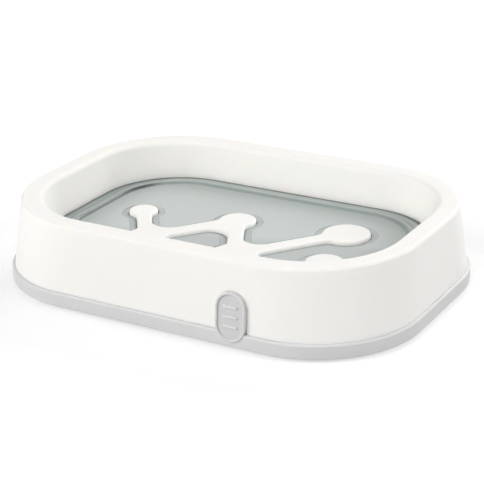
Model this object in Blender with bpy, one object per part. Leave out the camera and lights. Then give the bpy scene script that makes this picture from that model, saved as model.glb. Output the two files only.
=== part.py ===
"""Soap holder that sticks to a counter: a white dish body lifts off a grey base tray.

A smoked drain plate lies in the dish around a raised white zig-zag rib that carries the soap.
Water runs down the gap round the rib, through slots in the dish floor, into the base tray,
and four suction cups hang under the base tray.

Metres, +Z up. The origin is on the counter, under the middle of the base tray. -Y is the front,
where the pull tab is.
"""
import math
from dataclasses import dataclass

import bmesh
import bpy
from mathutils import Vector

MM = 0.001

# Plan of the base band, which every other outline is set in from
LENGTH = 140 * MM
WIDTH = 100 * MM
CORNER_RADIUS = 34 * MM

# Gaps between pieces
SEAT_GAP = 0.3 * MM
SIDE_GAP = 0.3 * MM

# Base tray
COUNTER_GAP = 1.0 * MM
BAND_HEIGHT = 4.5 * MM
BAND_ROUNDING = 0.7 * MM
BAND_FOOT_ROUNDING = 0.4 * MM
BASE_WALL = 1.8 * MM
BASE_FLOOR_LIFT = 0.4 * MM
LIP_WALL = 1.6 * MM
LIP_HEIGHT = 4.0 * MM
LIP_CHAMFER = 0.3 * MM
BASIN_FILLET = 1.0 * MM

# Dish body
DISH_HEIGHT = 21.4 * MM
WALL_SET_IN_BOTTOM = 1.0 * MM
WALL_SET_IN_TOP = 2.6 * MM
TOP_CORNER_EXTRA = 4.1 * MM
SKIRT_CHAMFER = 0.3 * MM
SKIRT_WALL_BOTTOM = 3.2 * MM
SKIRT_WALL_TOP = 2.3 * MM
RIM_WIDTH = 7.1 * MM
RIM_WALL = 2.0 * MM
RIM_OUTER_ROUNDING = 1.2 * MM
RIM_INNER_ROUNDING = 1.8 * MM
WELL_DEPTH = 14.9 * MM
WELL_DRAFT = 1.3 * MM
WELL_WALL = 2.0 * MM
WELL_CHAMFER = 0.3 * MM
DISH_FLOOR = 1.8 * MM

# Drain plate
PLATE_THICKNESS = 2.0 * MM
PLATE_BORDER_WIDTH = 3.2 * MM
PLATE_EDGE_ROUNDING = 0.4 * MM
PLATE_SIDE_GAP = 0.4 * MM
RIDGE_RISE = 0.7 * MM
RIDGE_OUTER_SLOPE = 1.9 * MM
RIDGE_CREST = 0.8 * MM
RIDGE_INNER_SLOPE = 0.9 * MM
RIDGE_FOOT_RISE = 0.2 * MM
RIDGE_FOOT_SLOPE = 1.3 * MM
RIDGE_CORNER_EXTRA = 1.0 * MM
RIB_GAP = 0.4 * MM
MOAT_WIDTH = 2.0 * MM
MOAT_DEPTH = 0.3 * MM
MOAT_STEP = 0.2 * MM

# Raised rib that the soap lies on
RIB_RISE = 1.1 * MM
RIB_ROUNDING = 0.6 * MM
RIB_WALL = 1.6 * MM
PAD_FILLET = 3.4 * MM
BEND_FILLETS = (6.4 * MM, 6.4 * MM, 5.8 * MM)
BAR_HALF_WIDTHS = (2.25 * MM, 2.5 * MM, 2.3 * MM, 2.4 * MM)

# Round pads of the rib: the chain from its left end to its right end, and the pad by itself
CHAIN_PAD_X = (-36.6 * MM, -23.4 * MM, -4.3 * MM, 8.7 * MM, 32.2 * MM)
CHAIN_PAD_Y = (0.7 * MM, -18.4 * MM, 6.7 * MM, -18.7 * MM, 11.9 * MM)
CHAIN_PAD_RADII = (4.5 * MM, 6.4 * MM, 5.8 * MM, 7.4 * MM, 7.5 * MM)
LONE_PAD_X = 36.5 * MM
LONE_PAD_Y = -11.9 * MM
LONE_PAD_RADIUS = 5.9 * MM


@dataclass(frozen=True)
class Finish:
    """Colour, roughness and opacity of one plastic."""

    color: tuple
    roughness: float
    alpha: float = 1.0


WHITE_PLASTIC = Finish((0.86, 0.85, 0.83), 0.35)
GREY_PLASTIC = Finish((0.60, 0.60, 0.60), 0.45)
SMOKED_PLASTIC = Finish((0.50, 0.54, 0.52), 0.25, 0.75)
SOFT_CUP = Finish((0.55, 0.57, 0.57), 0.3, 0.8)


@dataclass(frozen=True)
class Pad:
    """One round pad of the rib: its centre in plan and its radius."""

    x: float
    y: float
    radius: float


CHAIN_PADS = tuple(Pad(x, y, radius) for x, y, radius in zip(CHAIN_PAD_X, CHAIN_PAD_Y, CHAIN_PAD_RADII))
LONE_PAD = Pad(LONE_PAD_X, LONE_PAD_Y, LONE_PAD_RADIUS)

# Drain slots in the dish floor, one on each side of each bar
SLOT_LENGTH = 6.0 * MM
SLOT_WIDTH = 2.0 * MM
SLOT_FROM_RIB = 1.4 * MM

# Pull tab on the front of the base tray
TAB_CENTRE_X = 25.4 * MM
TAB_WIDTH = 10.0 * MM
TAB_HEIGHT = 15.3 * MM
TAB_FOOT = 1.5 * MM
TAB_PROUD = 0.5 * MM
TAB_RIM_WIDTH = 0.9 * MM
TAB_RIM_ROUNDING = 0.35 * MM
TAB_RECESS = 0.5 * MM
TAB_POCKET_MARGIN = 0.35 * MM
GRIP_COUNT = 3
GRIP_PITCH = 3.0 * MM
GRIP_LENGTH = 5.0 * MM
GRIP_WIDTH = 1.0 * MM
GRIP_RISE = 0.35 * MM

# Suction cups and the bosses that hold them
CUP_INSET_X = 27.0 * MM
CUP_INSET_Y = 26.5 * MM
CUP_RADIUS = 12.5 * MM
CUP_LIP_WIDTH = 1.5 * MM
CUP_LIP_THICKNESS = 0.7 * MM
CUP_LIP_ROUNDING = 0.2 * MM
CUP_HOLLOW_DEPTH = 2.2 * MM
CUP_SHOULDER_RADIUS = 5.2 * MM
CUP_NECK_RADIUS = 3.2 * MM
CUP_HEAD_RADIUS = 5.2 * MM
CUP_HEAD_EDGE = 0.6 * MM
CUP_HEAD_HEIGHT = 1.8 * MM
CUP_HEAD_CROWN_RADIUS = 0.5 * MM
CUP_POCKET_GAP = 0.8 * MM
CUP_POCKET_CEILING = 5.0 * MM
BOSS_WALL = 1.6 * MM
BOSS_CHAMFER = 0.5 * MM

# How far a cutter reaches past the faces that it cuts
CUT_MARGIN = 3.0 * MM

# Smoothness of the round stretches
CORNER_STEPS = 11
ROUNDING_STEPS = 4
PILL_STEPS = 8
TURN_STEPS = 24
ARC_STEP = math.radians(18)
ARC_SLACK = math.radians(0.05)
SHARP_ANGLE = math.radians(30)
SAME_POINT = 0.002 * MM

# Heights worked out from the sizes above
BAND_TOP = COUNTER_GAP + BAND_HEIGHT
BASE_UNDERSIDE = COUNTER_GAP + BASE_FLOOR_LIFT
BASIN_FLOOR = BASE_UNDERSIDE + BASE_WALL
LIP_TOP = BAND_TOP + LIP_HEIGHT
DISH_BOTTOM = BAND_TOP + SEAT_GAP
RIM_TOP = DISH_BOTTOM + DISH_HEIGHT
DISH_FLOOR_TOP = RIM_TOP - WELL_DEPTH
DISH_FLOOR_BOTTOM = DISH_FLOOR_TOP - DISH_FLOOR
PLATE_BOTTOM = DISH_FLOOR_TOP + SEAT_GAP
PLATE_TOP = PLATE_BOTTOM + PLATE_THICKNESS
RIB_TOP = PLATE_TOP + RIB_RISE
BOSS_TOP = CUP_POCKET_CEILING + BOSS_WALL
TAB_BOTTOM = COUNTER_GAP + TAB_FOOT
TAB_TOP = TAB_BOTTOM + TAB_HEIGHT

# Set-ins worked out from the sizes above, all measured inwards from the base band
WELL_SET_IN = WALL_SET_IN_TOP + RIM_WIDTH
WELL_FLOOR_SET_IN = WELL_SET_IN + WELL_DRAFT
WALL_LEAN = (WALL_SET_IN_TOP - WALL_SET_IN_BOTTOM) / (DISH_HEIGHT - RIM_OUTER_ROUNDING)
PLATE_SET_IN = WELL_FLOOR_SET_IN + PLATE_SIDE_GAP


def rounded_rectangle(set_in, extra_radius=0.0):
    """Plan points of the band's outline moved inwards, counter-clockwise."""
    half_x = LENGTH / 2 - set_in
    half_y = WIDTH / 2 - set_in
    radius = CORNER_RADIUS + extra_radius - set_in
    points = []
    for corner, (sign_x, sign_y) in enumerate(((1, 1), (-1, 1), (-1, -1), (1, -1))):
        for step in range(CORNER_STEPS + 1):
            angle = math.pi / 2 * (corner + step / CORNER_STEPS)
            x = sign_x * (half_x - radius) + radius * math.cos(angle)
            y = sign_y * (half_y - radius) + radius * math.sin(angle)
            points.append((x, y))
    return points


def skirt_inside(z):
    """Profile point on the inner face of the dish's skirt at a height."""
    share = (z - DISH_BOTTOM) / (RIM_TOP - RIM_WALL - DISH_BOTTOM)
    bottom = WALL_SET_IN_BOTTOM + SKIRT_WALL_BOTTOM
    top = WALL_SET_IN_TOP + SKIRT_WALL_TOP
    return (bottom + (top - bottom) * share, z, TOP_CORNER_EXTRA * share)


def moved_in(point, distance):
    """The same profile point further inwards."""
    set_in, z, extra = point
    return (set_in + distance, z, extra)


def quarter_round(start, end, bulge_first):
    """Profile points of a quarter ellipse from start to end, without start itself.

    start and end are (set_in, z, extra_radius). bulge_first keeps z still at the start.
    """
    points = []
    for step in range(1, ROUNDING_STEPS + 1):
        angle = math.pi / 2 * step / ROUNDING_STEPS
        slow, fast = 1 - math.cos(angle), math.sin(angle)
        along, rise = (fast, slow) if bulge_first else (slow, fast)
        set_in = start[0] + (end[0] - start[0]) * along
        z = start[1] + (end[1] - start[1]) * rise
        extra = start[2] + (end[2] - start[2]) * along
        points.append((set_in, z, extra))
    return points


def bridge_rings(mesh, rings):
    """Skin rings of points with equal counts into one closed body and cap both ends."""
    loops = [[mesh.verts.new(point) for point in ring] for ring in rings]
    count = len(loops[0])
    for lower, upper in zip(loops, loops[1:]):
        for index in range(count):
            after = (index + 1) % count
            mesh.faces.new((lower[index], lower[after], upper[after], upper[index]))
    mesh.faces.new(list(reversed(loops[0])))
    mesh.faces.new(loops[-1])


def tapered_rings(profile):
    """Rings of the rounded rectangle along a profile of (set_in, z, extra_radius)."""
    return [[(x, y, z) for x, y in rounded_rectangle(set_in, extra)] for set_in, z, extra in profile]


def turned_rings(profile, centre_x, centre_y):
    """Rings of circles along a profile of (radius, z)."""
    rings = []
    for radius, z in profile:
        ring = []
        for step in range(TURN_STEPS):
            angle = 2 * math.pi * step / TURN_STEPS
            ring.append((centre_x + radius * math.cos(angle), centre_y + radius * math.sin(angle), z))
        rings.append(ring)
    return rings


def finish_mesh(name, mesh):
    """Turn a bmesh into an object whose faces point outwards."""
    bmesh.ops.recalc_face_normals(mesh, faces=mesh.faces)
    data = bpy.data.meshes.new(name)
    mesh.to_mesh(data)
    mesh.free()
    made = bpy.data.objects.new(name, data)
    bpy.context.scene.collection.objects.link(made)
    return made


def make_body(name, *ring_sets):
    """Object made of one or more closed bodies, each given by its rings."""
    mesh = bmesh.new()
    for rings in ring_sets:
        bridge_rings(mesh, rings)
    return finish_mesh(name, mesh)


def make_cutter(name, *ring_sets):
    """Hidden body that a Boolean uses."""
    cutter = make_body(name, *ring_sets)
    cutter.hide_render = True
    cutter.display_type = "WIRE"
    return cutter


def combine(target, other, operation):
    """Add or cut another body on the target."""
    modifier = target.modifiers.new(f"{operation.lower()} {other.name}", "BOOLEAN")
    modifier.operation = operation
    modifier.object = other
    modifier.solver = "EXACT"


def dress(target, finish):
    """Give a piece its own material and smooth round faces."""
    material = bpy.data.materials.new(target.name)
    material.use_nodes = True
    shader = material.node_tree.nodes["Principled BSDF"]
    shader.inputs["Base Color"].default_value = (*finish.color, 1.0)
    shader.inputs["Roughness"].default_value = finish.roughness
    shader.inputs["Alpha"].default_value = finish.alpha
    target.data.materials.append(material)
    target.data.shade_smooth()
    target.data.set_sharp_from_angle(angle=SHARP_ANGLE)


def unit(vector):
    """The same direction at length one."""
    return vector / vector.length


def right_of(direction):
    """The direction a quarter turn clockwise."""
    return Vector((direction.y, -direction.x))


def leaving_fillet(pad, along, half_width):
    """Centre of the fillet between a pad and the right-hand side of the bar that leaves it."""
    reach = half_width + PAD_FILLET
    forward = math.sqrt((pad.radius + PAD_FILLET) ** 2 - reach ** 2)
    return Vector((pad.x, pad.y)) + along * forward + right_of(along) * reach


def arriving_fillet(pad, arriving, half_width):
    """Centre of the fillet between the right-hand side of an arriving bar and its pad."""
    reach = half_width + PAD_FILLET
    back = math.sqrt((pad.radius + PAD_FILLET) ** 2 - reach ** 2)
    return Vector((pad.x, pad.y)) - arriving * back + right_of(arriving) * reach


def bend_fillet(pad, arriving, leaving, half_in, half_out, radius):
    """Centre of the fillet between two bars on the inner side of a bend."""
    side_in, side_out = right_of(arriving), right_of(leaving)
    reach_in, reach_out = half_in + radius, half_out + radius
    cross = side_in.x * side_out.y - side_in.y * side_out.x
    x = (reach_in * side_out.y - reach_out * side_in.y) / cross
    y = (reach_out * side_in.x - reach_in * side_out.x) / cross
    return Vector((pad.x + x, pad.y + y))


def chain_side(pads, half_widths, bend_radii):
    """Arcs on the right-hand side of the chain between its end pads.

    Each arc is (centre, radius, turn), where turn is 1 on a pad and -1 in a fillet.
    """
    centres = [Vector((pad.x, pad.y)) for pad in pads]
    directions = [unit(after - before) for before, after in zip(centres, centres[1:])]
    arcs = [(leaving_fillet(pads[0], directions[0], half_widths[0]), PAD_FILLET, -1)]
    for index in range(1, len(pads) - 1):
        pad = pads[index]
        arriving, leaving = directions[index - 1], directions[index]
        half_in, half_out = half_widths[index - 1], half_widths[index]
        if arriving.x * leaving.y - arriving.y * leaving.x < 0:
            radius = bend_radii[index - 1]
            centre = bend_fillet(pad, arriving, leaving, half_in, half_out, radius)
            arcs.append((centre, radius, -1))
            continue
        arcs.append((arriving_fillet(pad, arriving, half_in), PAD_FILLET, -1))
        arcs.append((centres[index], pad.radius, 1))
        arcs.append((leaving_fillet(pad, leaving, half_out), PAD_FILLET, -1))
    arcs.append((arriving_fillet(pads[-1], directions[-1], half_widths[-1]), PAD_FILLET, -1))
    return arcs


def chain_arcs():
    """All arcs of the chain's outline, counter-clockwise."""
    first, last = CHAIN_PADS[0], CHAIN_PADS[-1]
    arcs = [(Vector((first.x, first.y)), first.radius, 1)]
    arcs += chain_side(CHAIN_PADS, BAR_HALF_WIDTHS, BEND_FILLETS)
    arcs.append((Vector((last.x, last.y)), last.radius, 1))
    arcs += chain_side(CHAIN_PADS[::-1], BAR_HALF_WIDTHS[::-1], BEND_FILLETS[::-1])
    return arcs


def tangent_heading(start, end):
    """Heading of the straight line that leaves one arc and joins the next one."""
    (centre_a, radius_a, turn_a), (centre_b, radius_b, turn_b) = start, end
    between = centre_b - centre_a
    share = (turn_a * radius_a - turn_b * radius_b) / between.length
    lean = math.acos(max(-1.0, min(1.0, share)))
    return math.atan2(between.y, between.x) + math.pi / 2 - lean


def chain_outline(offset):
    """Plan points of the chain's outline moved outwards by offset, counter-clockwise."""
    arcs = [(centre, radius + turn * offset, turn) for centre, radius, turn in chain_arcs()]
    headings = [tangent_heading(arc, arcs[(i + 1) % len(arcs)]) for i, arc in enumerate(arcs)]
    points = []
    for index, (centre, radius, turn) in enumerate(arcs):
        arriving = headings[index - 1]
        sweep = (turn * (headings[index] - arriving) + ARC_SLACK) % (2 * math.pi) - ARC_SLACK
        steps = max(1, math.ceil(sweep / ARC_STEP))
        for step in range(steps + 1):
            heading = arriving + turn * sweep * step / steps
            x = centre.x + turn * radius * math.sin(heading)
            y = centre.y - turn * radius * math.cos(heading)
            if not points or math.dist(points[-1], (x, y)) > SAME_POINT:
                points.append((x, y))
    if math.dist(points[0], points[-1]) < SAME_POINT:
        points.pop()
    return points


def lone_outline(offset):
    """Plan points of the lone pad's outline moved outwards by offset."""
    radius = LONE_PAD.radius + offset
    points = []
    for step in range(TURN_STEPS):
        angle = 2 * math.pi * step / TURN_STEPS
        points.append((LONE_PAD.x + radius * math.cos(angle), LONE_PAD.y + radius * math.sin(angle)))
    return points


def rib_rings(outline, profile):
    """Rings of a rib outline along a profile of (offset, z)."""
    return [[(x, y, z) for x, y in outline(offset)] for offset, z in profile]


def rib_bodies(profile):
    """The chain and the lone pad, both along the same profile of (offset, z)."""
    return rib_rings(chain_outline, profile), rib_rings(lone_outline, profile)


def pill_outline(width, height, centre_z):
    """Points (x, z) of an upright pill at the tab's place, counter-clockwise from the front."""
    radius = width / 2
    points = []
    for end in (1, -1):
        for step in range(PILL_STEPS + 1):
            angle = math.pi * step / PILL_STEPS + (0 if end == 1 else math.pi)
            x = TAB_CENTRE_X + radius * math.cos(angle)
            z = centre_z + end * (height / 2 - radius) + radius * math.sin(angle)
            points.append((x, z))
    return points


def tab_front(z):
    """Y of the tab's front plane at a height: it leans back with the dish wall."""
    return -(WIDTH / 2 + TAB_PROUD) + WALL_LEAN * (z - TAB_BOTTOM)


def tab_pocket_y():
    """Y of the flat back of the pocket that the dish wall has behind the tab."""
    set_in_at_top = WALL_SET_IN_BOTTOM + WALL_LEAN * (TAB_TOP - DISH_BOTTOM)
    return -(WIDTH / 2 - set_in_at_top - TAB_POCKET_MARGIN)


def tab_rings():
    """Rings of the pull tab before its field is sunk: flat back and a front with a rounded edge."""
    centre_z = (TAB_BOTTOM + TAB_TOP) / 2
    back_y = tab_pocket_y() - SIDE_GAP
    rounding = TAB_RIM_ROUNDING
    outer = pill_outline(TAB_WIDTH, TAB_HEIGHT, centre_z)
    rings = [[(x, back_y, z) for x, z in outer]]
    section = [(0.0, rounding)]
    for step in range(1, ROUNDING_STEPS):
        angle = math.pi / 2 * step / (ROUNDING_STEPS - 1)
        section.append((rounding * (1 - math.cos(angle)), rounding * (1 - math.sin(angle))))
    for inset, depth in section:
        ring = pill_outline(TAB_WIDTH - 2 * inset, TAB_HEIGHT - 2 * inset, centre_z)
        rings.append([(x, tab_front(z) + depth, z) for x, z in ring])
    return rings


def tab_recess_rings():
    """Rings of the cutter that sinks the tab's field, also where the band lies behind it."""
    centre_z = (TAB_BOTTOM + TAB_TOP) / 2
    rounding = TAB_RIM_ROUNDING
    mouth = TAB_RIM_WIDTH - 2 * rounding
    rings = []
    for inset, depth in ((mouth, -rounding), (TAB_RIM_WIDTH, rounding), (TAB_RIM_WIDTH, TAB_RECESS)):
        ring = pill_outline(TAB_WIDTH - 2 * inset, TAB_HEIGHT - 2 * inset, centre_z)
        rings.append([(x, tab_front(z) + depth, z) for x, z in ring])
    return rings


def grip_rings(index):
    """Rings of one short grip bar on the tab's field."""
    centre_z = (TAB_BOTTOM + TAB_TOP) / 2 + (index - (GRIP_COUNT - 1) / 2) * GRIP_PITCH
    radius = GRIP_WIDTH / 2
    crest = TAB_RECESS - GRIP_RISE
    section = ((0.0, TAB_RECESS + GRIP_RISE), (0.0, crest + GRIP_RISE / 2), (radius / 2, crest))
    rings = []
    for inset, depth in section:
        ring = []
        for end in (1, -1):
            for step in range(ROUNDING_STEPS + 1):
                angle = math.pi * step / ROUNDING_STEPS - math.pi / 2
                reach = GRIP_LENGTH / 2 - radius + (radius - inset) * math.cos(angle)
                x = TAB_CENTRE_X + end * reach
                z = centre_z + end * (radius - inset) * math.sin(angle)
                ring.append((x, tab_front(z) + depth, z))
        rings.append(ring)
    return rings


def tab_pocket_rings():
    """Rings of the pocket behind the tab, open at the dish's bottom edge."""
    radius = TAB_WIDTH / 2 + SIDE_GAP
    spring_z = TAB_TOP - TAB_WIDTH / 2
    foot_z = DISH_BOTTOM - CUT_MARGIN
    section = [(TAB_CENTRE_X - radius, foot_z), (TAB_CENTRE_X + radius, foot_z)]
    for step in range(PILL_STEPS + 1):
        angle = math.pi * step / PILL_STEPS
        section.append((TAB_CENTRE_X + radius * math.cos(angle), spring_z + radius * math.sin(angle)))
    outside_y = -(WIDTH / 2 + CUT_MARGIN)
    return [[(x, y, z) for x, z in section] for y in (outside_y, tab_pocket_y())]


def cup_centres():
    """Name and centre of each suction cup."""
    reach_x = LENGTH / 2 - CUP_INSET_X
    reach_y = WIDTH / 2 - CUP_INSET_Y
    return {
        "suction_cup_front_left": (-reach_x, -reach_y),
        "suction_cup_front_right": (reach_x, -reach_y),
        "suction_cup_back_left": (-reach_x, reach_y),
        "suction_cup_back_right": (reach_x, reach_y),
    }


def slot_rings(start_pad, end_pad, half_width, side):
    """Rings of one drain slot beside the middle of a bar."""
    start, end = Vector((start_pad.x, start_pad.y)), Vector((end_pad.x, end_pad.y))
    along = unit(end - start)
    across = right_of(along) * side
    centre = (start + end) / 2 + across * (half_width + SLOT_FROM_RIB + SLOT_WIDTH / 2)
    radius = SLOT_WIDTH / 2
    outline = []
    for turn in (1, -1):
        for step in range(ROUNDING_STEPS + 1):
            angle = math.pi * step / ROUNDING_STEPS - math.pi / 2
            forward = turn * (SLOT_LENGTH / 2 - radius + radius * math.cos(angle))
            sideways = turn * radius * math.sin(angle)
            outline.append(centre + along * forward + across * sideways)
    levels = (DISH_FLOOR_BOTTOM - CUT_MARGIN, DISH_FLOOR_TOP + CUT_MARGIN)
    return [[(point.x, point.y, z) for point in outline] for z in levels]


def make_base_tray():
    """Grey tray: band, ledge, locating lip, basin, cup bosses and pull tab."""
    lip_inside = SIDE_GAP + LIP_WALL
    top_of_face = BAND_TOP - BAND_ROUNDING
    groove_top = BAND_TOP - BASE_WALL
    groove_set_in = skirt_inside(BASE_UNDERSIDE)[0] + lip_inside - BASE_WALL
    profile = [
        (groove_set_in, BASE_UNDERSIDE, 0),
        (groove_set_in, groove_top, 0),
        (BASE_WALL, groove_top, 0),
        (BASE_WALL, COUNTER_GAP, 0),
        (BAND_FOOT_ROUNDING, COUNTER_GAP, 0),
        (0, COUNTER_GAP + BAND_FOOT_ROUNDING, 0),
        (0, top_of_face, 0),
    ]
    profile += quarter_round((0, top_of_face, 0), (BAND_ROUNDING, BAND_TOP, 0), False)
    shoulder = skirt_inside(LIP_TOP - LIP_CHAMFER)
    crest = skirt_inside(LIP_TOP)
    fillet_top = moved_in(skirt_inside(BASIN_FLOOR + BASIN_FILLET), lip_inside)
    fillet_foot = moved_in(skirt_inside(BASIN_FLOOR), lip_inside + BASIN_FILLET)
    profile += [
        moved_in(skirt_inside(BAND_TOP), SIDE_GAP),
        moved_in(shoulder, SIDE_GAP),
        moved_in(crest, SIDE_GAP + LIP_CHAMFER),
        moved_in(crest, lip_inside - LIP_CHAMFER),
        moved_in(shoulder, lip_inside),
        fillet_top,
    ]
    profile += quarter_round(fillet_top, fillet_foot, False)
    tray = make_body("base_tray", tapered_rings(profile))

    pocket_radius = CUP_RADIUS + CUP_POCKET_GAP
    boss_radius = pocket_radius + BOSS_WALL
    boss = (
        (boss_radius, BASE_UNDERSIDE + BASE_WALL / 2),
        (boss_radius, BOSS_TOP - BOSS_CHAMFER),
        (boss_radius - BOSS_CHAMFER, BOSS_TOP),
    )
    hole_radius = CUP_NECK_RADIUS + SIDE_GAP
    pocket = (
        (pocket_radius, BASE_UNDERSIDE - CUT_MARGIN),
        (pocket_radius, CUP_POCKET_CEILING),
        (hole_radius, CUP_POCKET_CEILING),
        (hole_radius, BOSS_TOP + CUT_MARGIN),
    )
    centres = cup_centres().values()
    bosses = make_cutter("base_bosses", *(turned_rings(boss, x, y) for x, y in centres))
    pockets = make_cutter("cup_pockets", *(turned_rings(pocket, x, y) for x, y in centres))
    tab = make_cutter("pull_tab", tab_rings())
    recess = make_cutter("tab_recess", tab_recess_rings())
    grips = make_cutter("tab_grips", *(grip_rings(index) for index in range(GRIP_COUNT)))
    combine(tray, bosses, "UNION")
    combine(tray, pockets, "DIFFERENCE")
    combine(tray, tab, "UNION")
    combine(tray, recess, "DIFFERENCE")
    combine(tray, grips, "UNION")
    dress(tray, GREY_PLASTIC)
    return tray


def make_dish_body():
    """White body: leaning wall, rim, well and floor with the raised rib."""
    top = TOP_CORNER_EXTRA
    wall_top = RIM_TOP - RIM_OUTER_ROUNDING
    rim_under = RIM_TOP - RIM_WALL
    well_outer_top = WELL_SET_IN - WELL_WALL
    well_outer_floor = WELL_FLOOR_SET_IN - WELL_WALL
    profile = [
        (well_outer_floor + DISH_FLOOR / 2, DISH_FLOOR_BOTTOM, top),
        (well_outer_floor, DISH_FLOOR_BOTTOM + DISH_FLOOR / 2, top),
        (well_outer_top, rim_under, top),
        skirt_inside(rim_under),
        skirt_inside(DISH_BOTTOM),
        (WALL_SET_IN_BOTTOM + SKIRT_CHAMFER, DISH_BOTTOM, 0),
        (WALL_SET_IN_BOTTOM, DISH_BOTTOM + SKIRT_CHAMFER, 0),
        (WALL_SET_IN_TOP, wall_top, top),
    ]
    crest = (WALL_SET_IN_TOP + RIM_OUTER_ROUNDING, RIM_TOP, top)
    profile += quarter_round((WALL_SET_IN_TOP, wall_top, top), crest, False)
    inner_crest = (WELL_SET_IN - RIM_INNER_ROUNDING, RIM_TOP, top)
    well_top = (WELL_SET_IN, RIM_TOP - RIM_INNER_ROUNDING, top)
    profile.append(inner_crest)
    profile += quarter_round(inner_crest, well_top, True)
    profile += [
        (WELL_FLOOR_SET_IN, DISH_FLOOR_TOP + WELL_CHAMFER, top),
        (WELL_FLOOR_SET_IN + WELL_CHAMFER, DISH_FLOOR_TOP, top),
    ]
    body = make_body("dish_body", tapered_rings(profile))

    shoulder = RIB_TOP - RIB_ROUNDING
    rib = [(0.0, DISH_FLOOR_TOP - DISH_FLOOR / 2), (0.0, shoulder)]
    for step in range(1, ROUNDING_STEPS):
        angle = math.pi / 2 * step / (ROUNDING_STEPS - 1)
        rib.append((-RIB_ROUNDING * (1 - math.cos(angle)), shoulder + RIB_ROUNDING * math.sin(angle)))
    hollow = ((-RIB_WALL, DISH_FLOOR_BOTTOM - CUT_MARGIN), (-RIB_WALL, RIB_TOP - RIB_WALL))
    slots = []
    for start, end, half_width in zip(CHAIN_PADS, CHAIN_PADS[1:], BAR_HALF_WIDTHS):
        slots += [slot_rings(start, end, half_width, side) for side in (1, -1)]
    ribs = make_cutter("soap_ribs", *rib_bodies(rib))
    openings = make_cutter("floor_openings", *rib_bodies(hollow), *slots)
    pocket = make_cutter("tab_pocket", tab_pocket_rings())
    combine(body, ribs, "UNION")
    combine(body, openings, "DIFFERENCE")
    combine(body, pocket, "DIFFERENCE")
    dress(body, WHITE_PLASTIC)
    return body


def make_drain_plate():
    """Smoked plate: flat border, raised ridge and flat field, cut out round the rib."""
    top = TOP_CORNER_EXTRA
    inner = top + RIDGE_CORNER_EXTRA
    edge = PLATE_EDGE_ROUNDING
    profile = [
        (PLATE_SET_IN + edge / 2, PLATE_BOTTOM, top),
        (PLATE_SET_IN, PLATE_BOTTOM + edge / 2, top),
        (PLATE_SET_IN, PLATE_TOP - edge, top),
    ]
    profile += quarter_round(profile[-1], (PLATE_SET_IN + edge, PLATE_TOP, top), False)
    set_in = PLATE_SET_IN + PLATE_BORDER_WIDTH
    profile.append((set_in, PLATE_TOP, top))
    for run, rise, extra in (
        (RIDGE_OUTER_SLOPE, RIDGE_RISE, top),
        (RIDGE_CREST, RIDGE_RISE, inner),
        (RIDGE_INNER_SLOPE, RIDGE_FOOT_RISE, inner),
        (RIDGE_FOOT_SLOPE, 0.0, inner),
    ):
        set_in += run
        profile.append((set_in, PLATE_TOP + rise, extra))
    plate = make_body("drain_plate", tapered_rings(profile))

    moat_edge = RIB_GAP + MOAT_WIDTH
    moat = (
        (RIB_GAP, PLATE_BOTTOM - CUT_MARGIN),
        (RIB_GAP, PLATE_TOP - MOAT_DEPTH),
        (moat_edge, PLATE_TOP - MOAT_STEP),
        (moat_edge, PLATE_TOP + CUT_MARGIN),
    )
    cut_out = make_cutter("rib_cut_out", *rib_bodies(moat))
    combine(plate, cut_out, "DIFFERENCE")
    dress(plate, SMOKED_PLASTIC)
    return plate


def make_suction_cup(name, centre_x, centre_y):
    """Soft cup: hollow foot, shoulder, neck through the boss and a button head above it."""
    shoulder_top = CUP_POCKET_CEILING - SEAT_GAP
    head_bottom = BOSS_TOP + SEAT_GAP
    lip_inner = CUP_RADIUS - CUP_LIP_WIDTH
    profile = []
    for step in range(ROUNDING_STEPS):
        share = step / ROUNDING_STEPS
        radius = CUP_NECK_RADIUS + (lip_inner - CUP_NECK_RADIUS) * share
        profile.append((radius, CUP_HOLLOW_DEPTH * (1 - share ** 2)))
    profile += [
        (lip_inner, 0.0),
        (CUP_RADIUS - CUP_LIP_ROUNDING, 0.0),
        (CUP_RADIUS, CUP_LIP_ROUNDING),
        (CUP_RADIUS - CUP_LIP_ROUNDING, CUP_LIP_THICKNESS),
    ]
    rise = shoulder_top - CUP_LIP_THICKNESS
    run = CUP_RADIUS - CUP_LIP_ROUNDING - CUP_SHOULDER_RADIUS
    for step in range(1, ROUNDING_STEPS + 1):
        angle = math.pi / 2 * step / ROUNDING_STEPS
        radius = CUP_SHOULDER_RADIUS + run * (1 - math.sin(angle))
        profile.append((radius, CUP_LIP_THICKNESS + rise * (1 - math.cos(angle))))
    profile += [
        (CUP_NECK_RADIUS, shoulder_top),
        (CUP_NECK_RADIUS, head_bottom),
        (CUP_HEAD_RADIUS, head_bottom),
    ]
    for step in range(ROUNDING_STEPS + 1):
        angle = math.pi / 2 * step / ROUNDING_STEPS
        reach = (CUP_HEAD_RADIUS - CUP_HEAD_CROWN_RADIUS) * math.cos(angle)
        dome = (CUP_HEAD_HEIGHT - CUP_HEAD_EDGE) * math.sin(angle)
        profile.append((CUP_HEAD_CROWN_RADIUS + reach, head_bottom + CUP_HEAD_EDGE + dome))
    cup = make_body(name, turned_rings(profile, centre_x, centre_y))
    dress(cup, SOFT_CUP)
    return cup


def clear_scene():
    """Remove every object from the open file."""
    for old in list(bpy.data.objects):
        bpy.data.objects.remove(old, do_unlink=True)


def main():
    """Build every piece."""
    clear_scene()
    make_base_tray()
    make_dish_body()
    make_drain_plate()
    for name, (centre_x, centre_y) in cup_centres().items():
        make_suction_cup(name, centre_x, centre_y)


main()
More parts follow.
